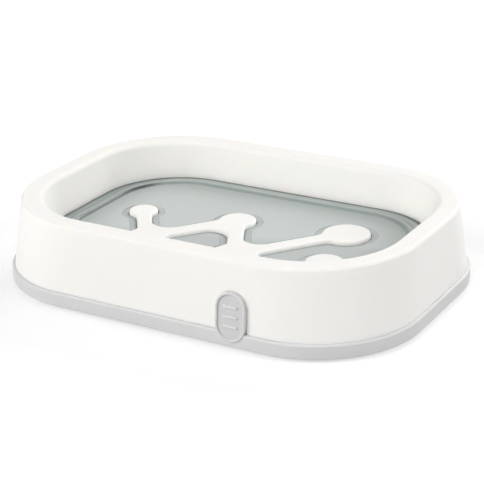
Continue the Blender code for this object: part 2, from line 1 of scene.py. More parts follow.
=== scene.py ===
"""Looks of a suction soap holder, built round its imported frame.

The frame gives the bodies, the joints and the box of each sub-part. Every sub-part here is a finer
mesh in the place of its solid: the tray, the dish, the plate and the cups are sections swept round a
rounded rectangle, and the rib that carries the soap is a parallel offset of one outline of arcs.
Metres, +Z up, and the front, where the pull tab is, faces -Y.
"""
import logging
import math
from dataclasses import dataclass
from enum import Enum
from typing import Any, Optional, Sequence

import bmesh
import bpy
from mathutils import Matrix, Vector


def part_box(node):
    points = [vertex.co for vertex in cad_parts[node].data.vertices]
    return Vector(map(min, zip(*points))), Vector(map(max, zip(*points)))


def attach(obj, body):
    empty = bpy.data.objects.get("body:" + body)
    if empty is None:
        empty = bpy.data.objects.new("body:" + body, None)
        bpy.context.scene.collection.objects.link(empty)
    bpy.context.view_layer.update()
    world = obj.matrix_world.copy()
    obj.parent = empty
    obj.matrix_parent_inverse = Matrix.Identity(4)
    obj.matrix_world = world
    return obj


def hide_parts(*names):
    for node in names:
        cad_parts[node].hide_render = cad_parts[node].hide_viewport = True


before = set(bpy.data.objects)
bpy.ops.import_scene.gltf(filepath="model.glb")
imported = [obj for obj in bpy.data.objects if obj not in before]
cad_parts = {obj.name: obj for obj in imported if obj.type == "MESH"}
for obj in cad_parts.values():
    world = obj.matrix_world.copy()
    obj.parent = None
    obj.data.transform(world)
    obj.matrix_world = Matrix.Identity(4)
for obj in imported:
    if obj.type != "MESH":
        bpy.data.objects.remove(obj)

MM = 0.001
SAME_POINT = 0.0005 * MM
LOG = logging.getLogger("soap_holder")

Color = tuple[float, float, float]
Point = tuple[float, float, float]
Pair = tuple[float, float]
Ring = list[Point]
Piece = bpy.types.Object
Material = bpy.types.Material
Socket = bpy.types.NodeSocket

WHITE = (1.0, 1.0, 1.0, 1.0)


class Join(Enum):
    """How one body is combined with another."""

    ADD = "UNION"
    CUT = "DIFFERENCE"


class Corner(Enum):
    """Corner of the base tray that a suction cup sits in."""

    FRONT_LEFT = "front_left"
    FRONT_RIGHT = "front_right"
    BACK_LEFT = "back_left"
    BACK_RIGHT = "back_right"

    @property
    def node(self) -> str:
        """Name of the cup's solid."""
        return f"suction_cup_{self.value}"


@dataclass(frozen=True)
class Station:
    """One point of a swept section: set-in from the band's outline, height, extra corner radius."""

    set_in: float
    z: float
    extra: float = 0.0

    def inwards(self, distance: float) -> "Station":
        """The same point moved further in."""
        return Station(self.set_in + distance, self.z, self.extra)

    def towards(self, end: "Station", along: float, rise: float) -> "Station":
        """The point at one share of the way in, and another share of the way up, to a second point."""
        return Station(
            self.set_in + (end.set_in - self.set_in) * along,
            self.z + (end.z - self.z) * rise,
            self.extra + (end.extra - self.extra) * along,
        )


@dataclass(frozen=True)
class Smoothness:
    """How finely round stretches are divided."""

    corner_steps: int = 28
    rounding_steps: int = 7
    pill_steps: int = 20
    arc_step: float = math.radians(6)
    sharp_angle: float = math.radians(38)


SMOOTH = Smoothness()


def circle_steps(steps: int, turn: float = math.pi / 2) -> list[Pair]:
    """Cosine and sine at even steps over a turn, with both of its ends."""
    angles = [turn * step / steps for step in range(steps + 1)]
    return [(math.cos(angle), math.sin(angle)) for angle in angles]


def pill(half: float, radius: float, steps: int) -> list[Pair]:
    """Outline of a pill, as (along, across), whose round ends are centred half from its middle."""
    return [(end * (half + radius * sine), -end * radius * cosine)
            for end in (1, -1) for cosine, sine in circle_steps(steps, math.pi)]


def quarter_round(start: Station, end: Station, level_first: bool) -> list[Station]:
    """Stations of a quarter ellipse between two stations.

    Args:
        start: Station that the arc leaves, which isn't repeated.
        end: Station that the arc reaches.
        level_first: True where the arc leaves its start level, False where it leaves it upright.

    Returns:
        The stations after start, the last of which is end.
    """
    stations = []
    for cosine, sine in circle_steps(SMOOTH.rounding_steps)[1:]:
        along, rise = (sine, 1 - cosine) if level_first else (1 - cosine, sine)
        stations.append(start.towards(end, along, rise))
    return stations


def eased(start: Station, end: Station) -> list[Station]:
    """Stations after start of a slope that leaves start level and reaches end level."""
    steps = 2 * SMOOTH.rounding_steps
    shares = [step / steps for step in range(1, steps + 1)]
    return [start.towards(end, share, share * share * (3 - 2 * share)) for share in shares]


class NodeWriter:
    """Adds nodes to a tree and links them as they are made."""

    def __init__(self, tree: bpy.types.NodeTree) -> None:
        """Keep the tree that nodes are added to."""
        self.tree = tree

    def add(self, kind: str, inputs: Optional[dict] = None, **settings: Any) -> bpy.types.Node:
        """Add one node.

        Args:
            kind: Blender's name of the node's type.
            inputs: Value or output socket for each input, by name or index.
            **settings: Properties of the node.

        Returns:
            The new node.
        """
        node = self.tree.nodes.new(kind)
        for name, value in settings.items():
            setattr(node, name, value)
        self.feed(node, inputs or {})
        return node

    def feed(self, node: bpy.types.Node, inputs: dict) -> None:
        """Link sockets to a node's inputs, or set the inputs' own values.

        Args:
            node: The node.
            inputs: Value or output socket for each input, by name or index.
        """
        for key, value in inputs.items():
            if isinstance(value, Socket):
                self.tree.links.new(value, node.inputs[key])
            else:
                node.inputs[key].default_value = value

    def math(self, operation: str, *values: Any) -> Socket:
        """Result of a Math node on up to three values or sockets."""
        return self.add("ShaderNodeMath", dict(enumerate(values)), operation=operation).outputs[0]

    def vector(self, operation: str, *values: Any, result: str = "Vector") -> Socket:
        """Result of a Vector Math node on vectors or sockets."""
        node = self.add("ShaderNodeVectorMath", dict(enumerate(values)), operation=operation)
        return node.outputs[result]

    def split(self, vector: Socket) -> list[Socket]:
        """The three numbers of a vector."""
        return list(self.add("ShaderNodeSeparateXYZ", {0: vector}).outputs)

    def place(self) -> Socket:
        """The place on the object."""
        return self.add("ShaderNodeTexCoord").outputs["Object"]

    def noise(self, where: Socket, scale: Any, detail: float, roughness: float) -> Socket:
        """Value of a noise texture at a place."""
        return self.add("ShaderNodeTexNoise", {
            "Vector": where, "Scale": scale, "Detail": detail, "Roughness": roughness}).outputs[0]

    def remap(self, value: Socket, source: Pair = (0.0, 1.0), target: Sequence = (0.0, 1.0),
              smooth: bool = False) -> Socket:
        """Bring a value from one range to another.

        Args:
            value: The value.
            source: The two ends of the range that it comes from.
            target: What those ends become, each a number or a socket.
            smooth: Whether the change starts and ends gently.

        Returns:
            The value in the new range.
        """
        return self.add("ShaderNodeMapRange", {
            "Value": value, "From Min": source[0], "From Max": source[1],
            "To Min": target[0], "To Max": target[1],
        }, interpolation_type="SMOOTHSTEP" if smooth else "LINEAR").outputs[0]

    def blend(self, share: Any, first: Any, second: Any, how: str = "MIX") -> Socket:
        """The second colour over the first one, by a share."""
        return self.add("ShaderNodeMixRGB", {
            "Fac": share, "Color1": first, "Color2": second}, blend_type=how).outputs[0]


def new_group(name: str, kind: str, inputs: dict[str, str],
              outputs: dict[str, str]) -> tuple[NodeWriter, Any]:
    """Start a node group with named sockets.

    Args:
        name: The group's name.
        kind: "Geometry" or "Shader".
        inputs: Type of each input, by name.
        outputs: Type of each output, by name.

    Returns:
        A writer on the new tree, and the sockets that give the tree's inputs.
    """
    tree = bpy.data.node_groups.new(name, f"{kind}NodeTree")
    for side, sockets in (("INPUT", inputs), ("OUTPUT", outputs)):
        for label, value in sockets.items():
            tree.interface.new_socket(label, in_out=side, socket_type=f"NodeSocket{value}")
    writer = NodeWriter(tree)
    return writer, writer.add("NodeGroupInput").outputs


def new_material(name: str) -> tuple[Material, bpy.types.Node, NodeWriter]:
    """Start a node material: the material, its shader and a writer on its tree."""
    made = bpy.data.materials.new(name)
    made.use_nodes = True
    return made, made.node_tree.nodes["Principled BSDF"], NodeWriter(made.node_tree)


def remove(*objects: Piece) -> None:
    """Take helper objects out of the file."""
    for piece in objects:
        bpy.data.objects.remove(piece, do_unlink=True)


def link(name: str, data: bpy.types.ID) -> Piece:
    """Make an object of a mesh, a light or a camera and put it in the scene."""
    piece = bpy.data.objects.new(name, data)
    bpy.context.scene.collection.objects.link(piece)
    return piece


def freeze(piece: Piece) -> None:
    """Turn a piece's modifiers into a plain mesh."""
    depsgraph = bpy.context.evaluated_depsgraph_get()
    mesh = bpy.data.meshes.new_from_object(piece.evaluated_get(depsgraph), depsgraph=depsgraph)
    mesh.name = piece.name
    piece.modifiers.clear()
    piece.data = mesh


def clean(piece: Piece, cap: bool = False) -> None:
    """Merge doubled points and turn faces outwards.

    Args:
        piece: The piece whose mesh is changed.
        cap: Whether open ends are closed with flat faces first.
    """
    mesh = bmesh.new()
    mesh.from_mesh(piece.data)
    bmesh.ops.remove_doubles(mesh, verts=mesh.verts, dist=SAME_POINT)
    bmesh.ops.dissolve_degenerate(mesh, edges=mesh.edges, dist=SAME_POINT)
    if cap:
        bmesh.ops.holes_fill(mesh, edges=[edge for edge in mesh.edges if edge.is_boundary], sides=0)
    bmesh.ops.recalc_face_normals(mesh, faces=mesh.faces)
    mesh.to_mesh(piece.data)
    mesh.free()


def loft(name: str, *ring_sets: Sequence[Ring], slots: Sequence[int] = ()) -> Piece:
    """Closed bodies skinned over rings of points.

    Args:
        name: Name of the new object.
        *ring_sets: For each body its rings, all with as many points.
        slots: Material slot of the skin between each two rings, or nothing for the first slot.

    Returns:
        One object that holds all the bodies.
    """
    mesh = bmesh.new()
    for rings in ring_sets:
        loops = [[mesh.verts.new(point) for point in ring] for ring in rings]
        count = len(loops[0])
        for band, (lower, upper) in enumerate(zip(loops, loops[1:])):
            for index in range(count):
                after = (index + 1) % count
                face = mesh.faces.new((lower[index], lower[after], upper[after], upper[index]))
                face.material_index = slots[band] if slots else 0
        mesh.faces.new(list(reversed(loops[0])))
        mesh.faces.new(loops[-1])
    bmesh.ops.recalc_face_normals(mesh, faces=mesh.faces)
    data = bpy.data.meshes.new(name)
    mesh.to_mesh(data)
    mesh.free()
    return link(name, data)


def combine(target: Piece, tool: Piece, how: Join) -> None:
    """Add a tool body to a target or cut it out, and remove the tool.

    Args:
        target: The piece that is changed. Faces that the tool leaves keep the tool's material.
        tool: The other body.
        how: Whether the tool is added or cut out.
    """
    if not tool.data.materials:
        tool.data.materials.append(target.data.materials[0])
    modifier = target.modifiers.new(tool.name, "BOOLEAN")
    modifier.operation = how.value
    modifier.object = tool
    modifier.solver = "EXACT"
    modifier.material_mode = "TRANSFER"
    freeze(target)
    remove(tool)


def smooth(piece: Piece) -> Piece:
    """Shade a piece smooth, with flat faces kept flat and sharp edges kept sharp, and return it."""
    clean(piece)
    piece.data.shade_smooth()
    piece.data.set_sharp_from_angle(angle=SMOOTH.sharp_angle)
    modifier = piece.modifiers.new("weighted normals", "WEIGHTED_NORMAL")
    modifier.keep_sharp = True
    freeze(piece)
    return piece


class GeometryTree:
    """A Geometry Nodes tree whose result is kept as a plain mesh."""

    def __init__(self, name: str, inputs: dict[str, str]) -> None:
        """Start the tree, with the type of each input but the material by the input's name."""
        self.writer, self.inside = new_group(
            name, "Geometry", {**inputs, "Material": "Material"}, {"Geometry": "Geometry"})

    def known(self, name: str, kind: str) -> Socket:
        """A value that the points keep under a name."""
        return self.writer.add("GeometryNodeInputNamedAttribute", {"Name": name}, data_type=kind).outputs[0]

    def end(self, geometry: Socket) -> None:
        """End the tree with a real mesh in the tree's material."""
        real = self.writer.add("GeometryNodeRealizeInstances", {"Geometry": geometry})
        dressed = self.writer.add("GeometryNodeSetMaterial", {
            "Geometry": real.outputs[0], "Material": self.inside["Material"]})
        self.writer.add("NodeGroupOutput", {0: dressed.outputs[0]})

    def run(self, name: str, data: bpy.types.Mesh, values: dict[str, Any]) -> Piece:
        """Run the tree on a mesh.

        Args:
            name: Name of the new object.
            data: The mesh that goes in.
            values: Value of each other input of the tree, by name.

        Returns:
            An object that holds the result as a plain mesh.
        """
        piece = link(name, data)
        modifier = piece.modifiers.new(self.writer.tree.name, "NODES")
        modifier.node_group = self.writer.tree
        for item in self.writer.tree.interface.items_tree:
            if item.in_out == "INPUT" and item.name in values:
                modifier[item.identifier] = values[item.name]
        freeze(piece)
        return piece


class RoundedSweep(GeometryTree):
    """Node tree that sweeps a section round a rounded rectangle.

    The section comes in as a line of points (set-in, extra corner radius, height). With a corner
    radius of half the length and width, the sweep is a turned body.
    """

    def __init__(self) -> None:
        """Build the tree."""
        super().__init__("rounded sweep", {
            "Section": "Geometry", "Length": "Float", "Width": "Float", "Corner Radius": "Float",
            "Corner Steps": "Int", "Centre": "Vector"})
        placed = self.writer.add("GeometryNodeSetPosition", {
            "Geometry": self._skin(), "Position": self._place()})
        merged = self.writer.add("GeometryNodeMergeByDistance", {
            "Geometry": placed.outputs[0], "Distance": SAME_POINT})
        self.end(merged.outputs[0])

    def _store(self, geometry: Socket, name: str, kind: str, value: Socket) -> Socket:
        """Keep a value of some kind on a geometry's points, under a name."""
        return self.writer.add("GeometryNodeStoreNamedAttribute", {
            "Geometry": geometry, "Name": name, "Value": value}, data_type=kind, domain="POINT").outputs[0]

    def _skin(self) -> Socket:
        """Skin a ring of sections, each point of which knows its section point and its turn.

        Returns:
            The skin.
        """
        writer = self.writer
        line = writer.add("GeometryNodeMeshToCurve", {"Mesh": self.inside["Section"]}).outputs[0]
        where = writer.add("GeometryNodeInputPosition").outputs[0]
        profile = self._store(line, "section", "FLOAT_VECTOR", where)
        per_corner = writer.math("ADD", self.inside["Corner Steps"], 1.0)
        count = writer.math("MULTIPLY", per_corner, 4.0)
        circle = writer.add("GeometryNodeCurvePrimitiveCircle", {"Resolution": count}).outputs[0]
        ring = self._store(circle, "turn", "FLOAT", writer.add("GeometryNodeInputIndex").outputs[0])
        return writer.add("GeometryNodeCurveToMesh", {"Curve": ring, "Profile Curve": profile}).outputs[0]

    def _place(self) -> Socket:
        """Work out where each point of the skin goes.

        Returns:
            The position.
        """
        writer, inside, calc = self.writer, self.inside, self.writer.math
        set_in, extra, height = writer.split(self.known("section", "FLOAT_VECTOR"))
        turn = self.known("turn", "FLOAT")
        per_corner = calc("ADD", inside["Corner Steps"], 1.0)
        corner = calc("FLOOR", calc("DIVIDE", turn, per_corner))
        step = calc("SUBTRACT", turn, calc("MULTIPLY", corner, per_corner))
        share = calc("ADD", corner, calc("DIVIDE", step, inside["Corner Steps"]))
        angle = calc("MULTIPLY", share, math.pi / 2)
        middle = calc("MULTIPLY", calc("ADD", corner, 0.5), math.pi / 2)
        radius = calc("SUBTRACT", calc("ADD", inside["Corner Radius"], extra), set_in)
        centre = writer.split(inside["Centre"])
        axes = {2: height}
        for index, (size, wave) in enumerate((("Length", "COSINE"), ("Width", "SINE"))):
            half = calc("SUBTRACT", calc("MULTIPLY", inside[size], 0.5), set_in)
            straight = calc("MULTIPLY", calc("SIGN", calc(wave, middle)), calc("SUBTRACT", half, radius))
            bent = calc("MULTIPLY", radius, calc(wave, angle))
            axes[index] = calc("ADD", centre[index], calc("ADD", straight, bent))
        return writer.add("ShaderNodeCombineXYZ", axes).outputs[0]

    def make(self, name: str, stations: Sequence[Station], plan: "Plan", material: Material,
             centre: Point = (0.0, 0.0, 0.0)) -> Piece:
        """Sweep a section and close its ends.

        Args:
            name: Name of the new object.
            stations: The section, from the middle of one end to the middle of the other.
            plan: The rounded rectangle that set-ins are measured from.
            material: Material of the whole body.
            centre: Where the rounded rectangle's centre goes.

        Returns:
            A closed body as a plain mesh.
        """
        data = bpy.data.meshes.new(name)
        points = [(station.set_in, station.extra, station.z) for station in stations]
        data.from_pydata(points, [(index, index + 1) for index in range(len(points) - 1)], [])
        piece = self.run(name, data, {
            "Length": plan.length, "Width": plan.width, "Corner Radius": plan.corner_radius,
            "Corner Steps": SMOOTH.corner_steps, "Centre": centre, "Material": material})
        for attribute in ("section", "turn"):
            piece.data.attributes.remove(piece.data.attributes[attribute])
        clean(piece, cap=True)
        return piece


class Repeater(GeometryTree):
    """Node tree that sets a copy of one shape on each point, turned by the point's heading."""

    def __init__(self) -> None:
        """Build the tree."""
        super().__init__("repeat on points", {"Points": "Geometry", "Shape": "Object"})
        writer, inside = self.writer, self.inside
        shape = writer.add("GeometryNodeObjectInfo", {"Object": inside["Shape"]}).outputs["Geometry"]
        euler = writer.add("ShaderNodeCombineXYZ", {2: self.known("heading", "FLOAT")}).outputs[0]
        rotation = writer.add("FunctionNodeEulerToRotation", {0: euler}).outputs[0]
        copies = writer.add("GeometryNodeInstanceOnPoints", {
            "Points": inside["Points"], "Instance": shape, "Rotation": rotation})
        self.end(copies.outputs[0])

    def make(self, name: str, shape: Piece, places: Sequence[Point], headings: Sequence[float],
             material: Material) -> Piece:
        """Copy a shape to several places and remove the shape.

        Args:
            name: Name of the new object.
            shape: The shape, made round the origin.
            places: Where the copies go.
            headings: How far each copy is turned about +Z, in radians.
            material: Material of all the copies.

        Returns:
            One object that holds all the copies as a plain mesh.
        """
        data = bpy.data.meshes.new(name)
        data.from_pydata(places, [], [])
        data.attributes.new("heading", "FLOAT", "POINT").data.foreach_set("value", headings)
        piece = self.run(name, data, {"Shape": shape, "Material": material})
        remove(shape)
        return piece


@dataclass(frozen=True)
class Plan:
    """A rounded rectangle in plan, which outlines are set in from."""

    length: float
    width: float
    corner_radius: float

    @classmethod
    def round(cls, radius: float) -> "Plan":
        """The plan of a turned body."""
        return cls(2 * radius, 2 * radius, radius)


@dataclass(frozen=True)
class Workshop:
    """What every sub-part is made with: node trees, the band's plan and the plastics by name."""

    sweep: RoundedSweep
    repeat: Repeater
    plan: Plan
    plastics: dict[str, Material]


@dataclass(frozen=True)
class Pad:
    """One round pad of the rib: its centre in plan and its radius."""

    x: float
    y: float
    radius: float

    @property
    def centre(self) -> Vector:
        """The pad's centre."""
        return Vector((self.x, self.y))


@dataclass(frozen=True)
class Arc:
    """One arc of an outline. A pad turns left (1) and a fillet turns right (-1)."""

    centre: Vector
    radius: float
    turn: int


def right_of(direction: Vector) -> Vector:
    """The direction a quarter turn clockwise."""
    return Vector((direction.y, -direction.x))


@dataclass(frozen=True)
class SoapRib:
    """The raised rib: a chain of round pads joined by bars, and a pad by itself."""

    chain: tuple[Pad, ...] = (
        Pad(-36.6 * MM, 0.7 * MM, 4.5 * MM),
        Pad(-23.4 * MM, -18.4 * MM, 6.4 * MM),
        Pad(-4.3 * MM, 6.7 * MM, 5.8 * MM),
        Pad(8.7 * MM, -18.7 * MM, 7.4 * MM),
        Pad(32.2 * MM, 11.9 * MM, 7.5 * MM),
    )
    half_widths: tuple[float, ...] = (2.25 * MM, 2.5 * MM, 2.3 * MM, 2.4 * MM)
    bend_fillets: tuple[float, ...] = (6.4 * MM, 6.4 * MM, 5.8 * MM)
    pad_fillet: float = 3.4 * MM
    lone: Pad = Pad(36.5 * MM, -11.9 * MM, 5.9 * MM)
    rise: float = 1.1 * MM
    edge_height: float = 0.8 * MM
    edge_width: float = 0.75 * MM
    foot_spread: float = 0.2 * MM
    wall: float = 1.6 * MM
    slot_length: float = 6.0 * MM
    slot_width: float = 2.0 * MM
    slot_from_rib: float = 1.4 * MM

    def _pad_fillet(self, pad: Pad, along: Vector, half_width: float, leaving: bool) -> Arc:
        """Fillet between a pad and the right-hand side of a bar.

        Args:
            pad: The pad.
            along: Direction of travel along the bar.
            half_width: Half the bar's width.
            leaving: True where the bar leaves the pad, False where it arrives.

        Returns:
            The fillet's arc.
        """
        reach = half_width + self.pad_fillet
        away = math.sqrt((pad.radius + self.pad_fillet) ** 2 - reach ** 2)
        centre = pad.centre + along * (away if leaving else -away) + right_of(along) * reach
        return Arc(centre, self.pad_fillet, -1)

    @staticmethod
    def _bend_fillet(pad: Pad, along: tuple[Vector, Vector], half_widths: Pair,
                     radius: float) -> Arc:
        """Fillet on the inner side of a bend, between the two bars that meet at a pad.

        Args:
            pad: The pad at the bend.
            along: Directions of the arriving and the leaving bar.
            half_widths: Half widths of the same bars.
            radius: The fillet's radius.

        Returns:
            The fillet's arc.
        """
        side_in, side_out = right_of(along[0]), right_of(along[1])
        reach_in, reach_out = half_widths[0] + radius, half_widths[1] + radius
        cross = side_in.x * side_out.y - side_in.y * side_out.x
        x = (reach_in * side_out.y - reach_out * side_in.y) / cross
        y = (reach_out * side_in.x - reach_in * side_out.x) / cross
        return Arc(pad.centre + Vector((x, y)), radius, -1)

    def _side(self, pads: Sequence[Pad], widths: Sequence[float], bends: Sequence[float]) -> list[Arc]:
        """Arcs on the right-hand side of the chain, between its end pads.

        Args:
            pads: The pads in the direction of travel.
            widths: Half width of each bar.
            bends: Radius of the inner fillet at each pad but the first and last.

        Returns:
            The arcs in the direction of travel.
        """
        along = [(b.centre - a.centre).normalized() for a, b in zip(pads, pads[1:])]
        arcs = [self._pad_fillet(pads[0], along[0], widths[0], True)]
        for index in range(1, len(pads) - 1):
            before, after = along[index - 1], along[index]
            if before.x * after.y - before.y * after.x < 0:
                pair = (widths[index - 1], widths[index])
                arcs.append(self._bend_fillet(pads[index], (before, after), pair, bends[index - 1]))
                continue
            arcs.append(self._pad_fillet(pads[index], before, widths[index - 1], False))
            arcs.append(Arc(pads[index].centre, pads[index].radius, 1))
            arcs.append(self._pad_fillet(pads[index], after, widths[index], True))
        arcs.append(self._pad_fillet(pads[-1], along[-1], widths[-1], False))
        return arcs

    def arcs(self) -> list[Arc]:
        """All arcs of the chain's outline, counter-clockwise."""
        first, last = self.chain[0], self.chain[-1]
        there = self._side(self.chain, self.half_widths, self.bend_fillets)
        back = self._side(self.chain[::-1], self.half_widths[::-1], self.bend_fillets[::-1])
        return [Arc(first.centre, first.radius, 1), *there, Arc(last.centre, last.radius, 1), *back]

    def chain_outline(self, offset: float) -> list[Vector]:
        """Outline of the chain moved outwards.

        Args:
            offset: How far the outline is moved outwards.

        Returns:
            Plan points, counter-clockwise.
        """
        arcs = [Arc(arc.centre, arc.radius + arc.turn * offset, arc.turn) for arc in self.arcs()]
        headings = []
        for arc, after in zip(arcs, arcs[1:] + arcs[:1]):
            between = after.centre - arc.centre
            share = (arc.turn * arc.radius - after.turn * after.radius) / between.length
            lean = math.acos(max(-1.0, min(1.0, share)))
            headings.append(math.atan2(between.y, between.x) + math.pi / 2 - lean)
        points = []
        for index, arc in enumerate(arcs):
            arriving = headings[index - 1]
            sweep = arc.turn * (headings[index] - arriving) % (2 * math.pi)
            sweep = 0.0 if 2 * math.pi - sweep < SMOOTH.arc_step / 2 else sweep
            steps = max(1, math.ceil(sweep / SMOOTH.arc_step))
            for step in range(steps + 1):
                heading = arriving + arc.turn * sweep * step / steps
                away = Vector((math.sin(heading), -math.cos(heading))) * arc.turn * arc.radius
                if not points or (points[-1] - arc.centre - away).length > 2 * SAME_POINT:
                    points.append(arc.centre + away)
        if (points[0] - points[-1]).length < 2 * SAME_POINT:
            points.pop()
        return points

    def lone_outline(self, offset: float) -> list[Vector]:
        """Outline of the lone pad moved outwards by offset."""
        ways = circle_steps(round(2 * math.pi / SMOOTH.arc_step), 2 * math.pi)[:-1]
        return [self.lone.centre + Vector(way) * (self.lone.radius + offset) for way in ways]

    def bodies(self, name: str, section: Sequence[Pair],
               slots: Sequence[int] = ()) -> Piece:
        """The chain and the lone pad along one section.

        Args:
            name: Name of the new object.
            section: (offset, height) of each ring.
            slots: Material slot of the skin between each two rings.

        Returns:
            One object that holds both bodies.
        """
        sets = []
        for outline in (self.chain_outline, self.lone_outline):
            sets.append([[(point.x, point.y, z) for point in outline(offset)] for offset, z in section])
        return loft(name, *sets, slots=slots)

    def slots(self, workshop: Workshop, low: float, high: float) -> Piece:
        """Cutter for the drain slots, one on each side of each bar.

        Args:
            workshop: What the dish is made with.
            low: Lowest height of the cutter.
            high: Highest height of the cutter.

        Returns:
            One object that holds all the slots.
        """
        radius = self.slot_width / 2
        outline = pill(self.slot_length / 2 - radius, radius, SMOOTH.rounding_steps)
        shape = loft("drain_slot", [[(x, y, z) for x, y in outline] for z in (low, high)])
        places, headings = [], []
        for start, end, half_width in zip(self.chain, self.chain[1:], self.half_widths):
            along = (end.centre - start.centre).normalized()
            aside = right_of(along) * (half_width + self.slot_from_rib + radius)
            for side in (1, -1):
                place = (start.centre + end.centre) / 2 + aside * side
                places.append((place.x, place.y, 0.0))
                headings.append(math.atan2(along.y, along.x))
        white = workshop.plastics["white_plastic"]
        return workshop.repeat.make("drain_slots", shape, places, headings, white)


@dataclass(frozen=True)
class DishBody:
    """The white dish: leaning wall, rim, well and floor with the raised rib."""

    bottom: float
    rim_top: float
    rib_top: float
    rib: SoapRib
    seat_gap: float = 0.004 * MM
    wall_set_in_bottom: float = 1.0 * MM
    wall_set_in_top: float = 2.6 * MM
    top_corner_extra: float = 4.1 * MM
    skirt_rounding: float = 0.01 * MM
    skirt_wall_bottom: float = 3.2 * MM
    skirt_wall_top: float = 2.3 * MM
    rim_width: float = 7.1 * MM
    rim_wall: float = 2.0 * MM
    rim_outer_rounding: float = 1.2 * MM
    rim_inner_rounding: float = 1.8 * MM
    well_depth: float = 14.9 * MM
    well_draft: float = 1.3 * MM
    well_wall: float = 2.0 * MM
    well_fillet: float = 0.3 * MM
    floor: float = 1.8 * MM
    cut_margin: float = 3.0 * MM

    @property
    def wall_lean(self) -> float:
        """How far the outer wall leans in for each metre of height."""
        rise = self.rim_top - self.bottom - self.rim_outer_rounding
        return (self.wall_set_in_top - self.wall_set_in_bottom) / rise

    @property
    def floor_top(self) -> float:
        """Height of the dish floor."""
        return self.rim_top - self.well_depth

    @property
    def floor_bottom(self) -> float:
        """Height of the dish floor's underside."""
        return self.floor_top - self.floor

    @property
    def well_set_in(self) -> float:
        """Set-in of the well's wall at the rim."""
        return self.wall_set_in_top + self.rim_width

    @property
    def well_floor_set_in(self) -> float:
        """Set-in of the well's wall at the floor."""
        return self.well_set_in + self.well_draft

    def skirt_inside(self, z: float) -> Station:
        """Station on the inner face of the skirt at a height."""
        share = (z - self.bottom) / (self.rim_top - self.rim_wall - self.bottom)
        low = self.wall_set_in_bottom + self.skirt_wall_bottom
        high = self.wall_set_in_top + self.skirt_wall_top
        return Station(low + (high - low) * share, z, self.top_corner_extra * share)

    def section(self) -> list[Station]:
        """The dish's section, from the middle of its underside to the middle of its floor."""
        top = self.top_corner_extra
        under = self.rim_top - self.rim_wall
        wall_top = self.rim_top - self.rim_outer_rounding
        outer_floor = self.well_floor_set_in - self.well_wall
        foot = Station(self.wall_set_in_bottom + self.skirt_rounding, self.bottom)
        foot_top = Station(self.wall_set_in_bottom, self.bottom + self.skirt_rounding)
        outer_top = Station(self.wall_set_in_top, wall_top, top)
        crest = Station(self.wall_set_in_top + self.rim_outer_rounding, self.rim_top, top)
        inner_crest = Station(self.well_set_in - self.rim_inner_rounding, self.rim_top, top)
        well_top = Station(self.well_set_in, self.rim_top - self.rim_inner_rounding, top)
        well_foot = Station(self.well_floor_set_in, self.floor_top + self.well_fillet, top)
        floor_edge = Station(self.well_floor_set_in + self.well_fillet, self.floor_top, top)
        return [
            Station(outer_floor + self.floor / 2, self.floor_bottom, top),
            Station(outer_floor, self.floor_bottom + self.floor / 2, top),
            Station(self.well_set_in - self.well_wall, under, top),
            self.skirt_inside(under),
            self.skirt_inside(self.bottom),
            foot, *quarter_round(foot, foot_top, True),
            outer_top, *quarter_round(outer_top, crest, False),
            inner_crest, *quarter_round(inner_crest, well_top, True),
            well_foot, *quarter_round(well_foot, floor_edge, False),
        ]

    def build(self, workshop: Workshop, tab: "PullTab") -> Piece:
        """Build the dish.

        Args:
            workshop: What the dish is made with.
            tab: The tray's pull tab, which the dish's wall has a pocket for.

        Returns:
            The dish as one closed mesh.
        """
        white = workshop.plastics["white_plastic"]
        piece = workshop.sweep.make("dish", self.section(), workshop.plan, white)
        rib = self.rib
        shoulder = self.rib_top - rib.edge_height
        section = [(rib.foot_spread, self.floor_top - self.floor / 2), (rib.foot_spread, shoulder)]
        for cosine, sine in circle_steps(SMOOTH.rounding_steps)[1:]:
            offset = rib.foot_spread - rib.edge_width * (1 - cosine)
            section.append((offset, shoulder + rib.edge_height * sine))
        low = self.floor_bottom - self.cut_margin
        hollow = ((-rib.wall, low), (-rib.wall, self.rib_top - rib.wall))
        combine(piece, rib.bodies("soap_rib", section), Join.ADD)
        combine(piece, rib.bodies("rib_hollow", hollow), Join.CUT)
        combine(piece, rib.slots(workshop, low, self.floor_top + self.cut_margin), Join.CUT)
        combine(piece, tab.pocket(), Join.CUT)
        return smooth(piece)


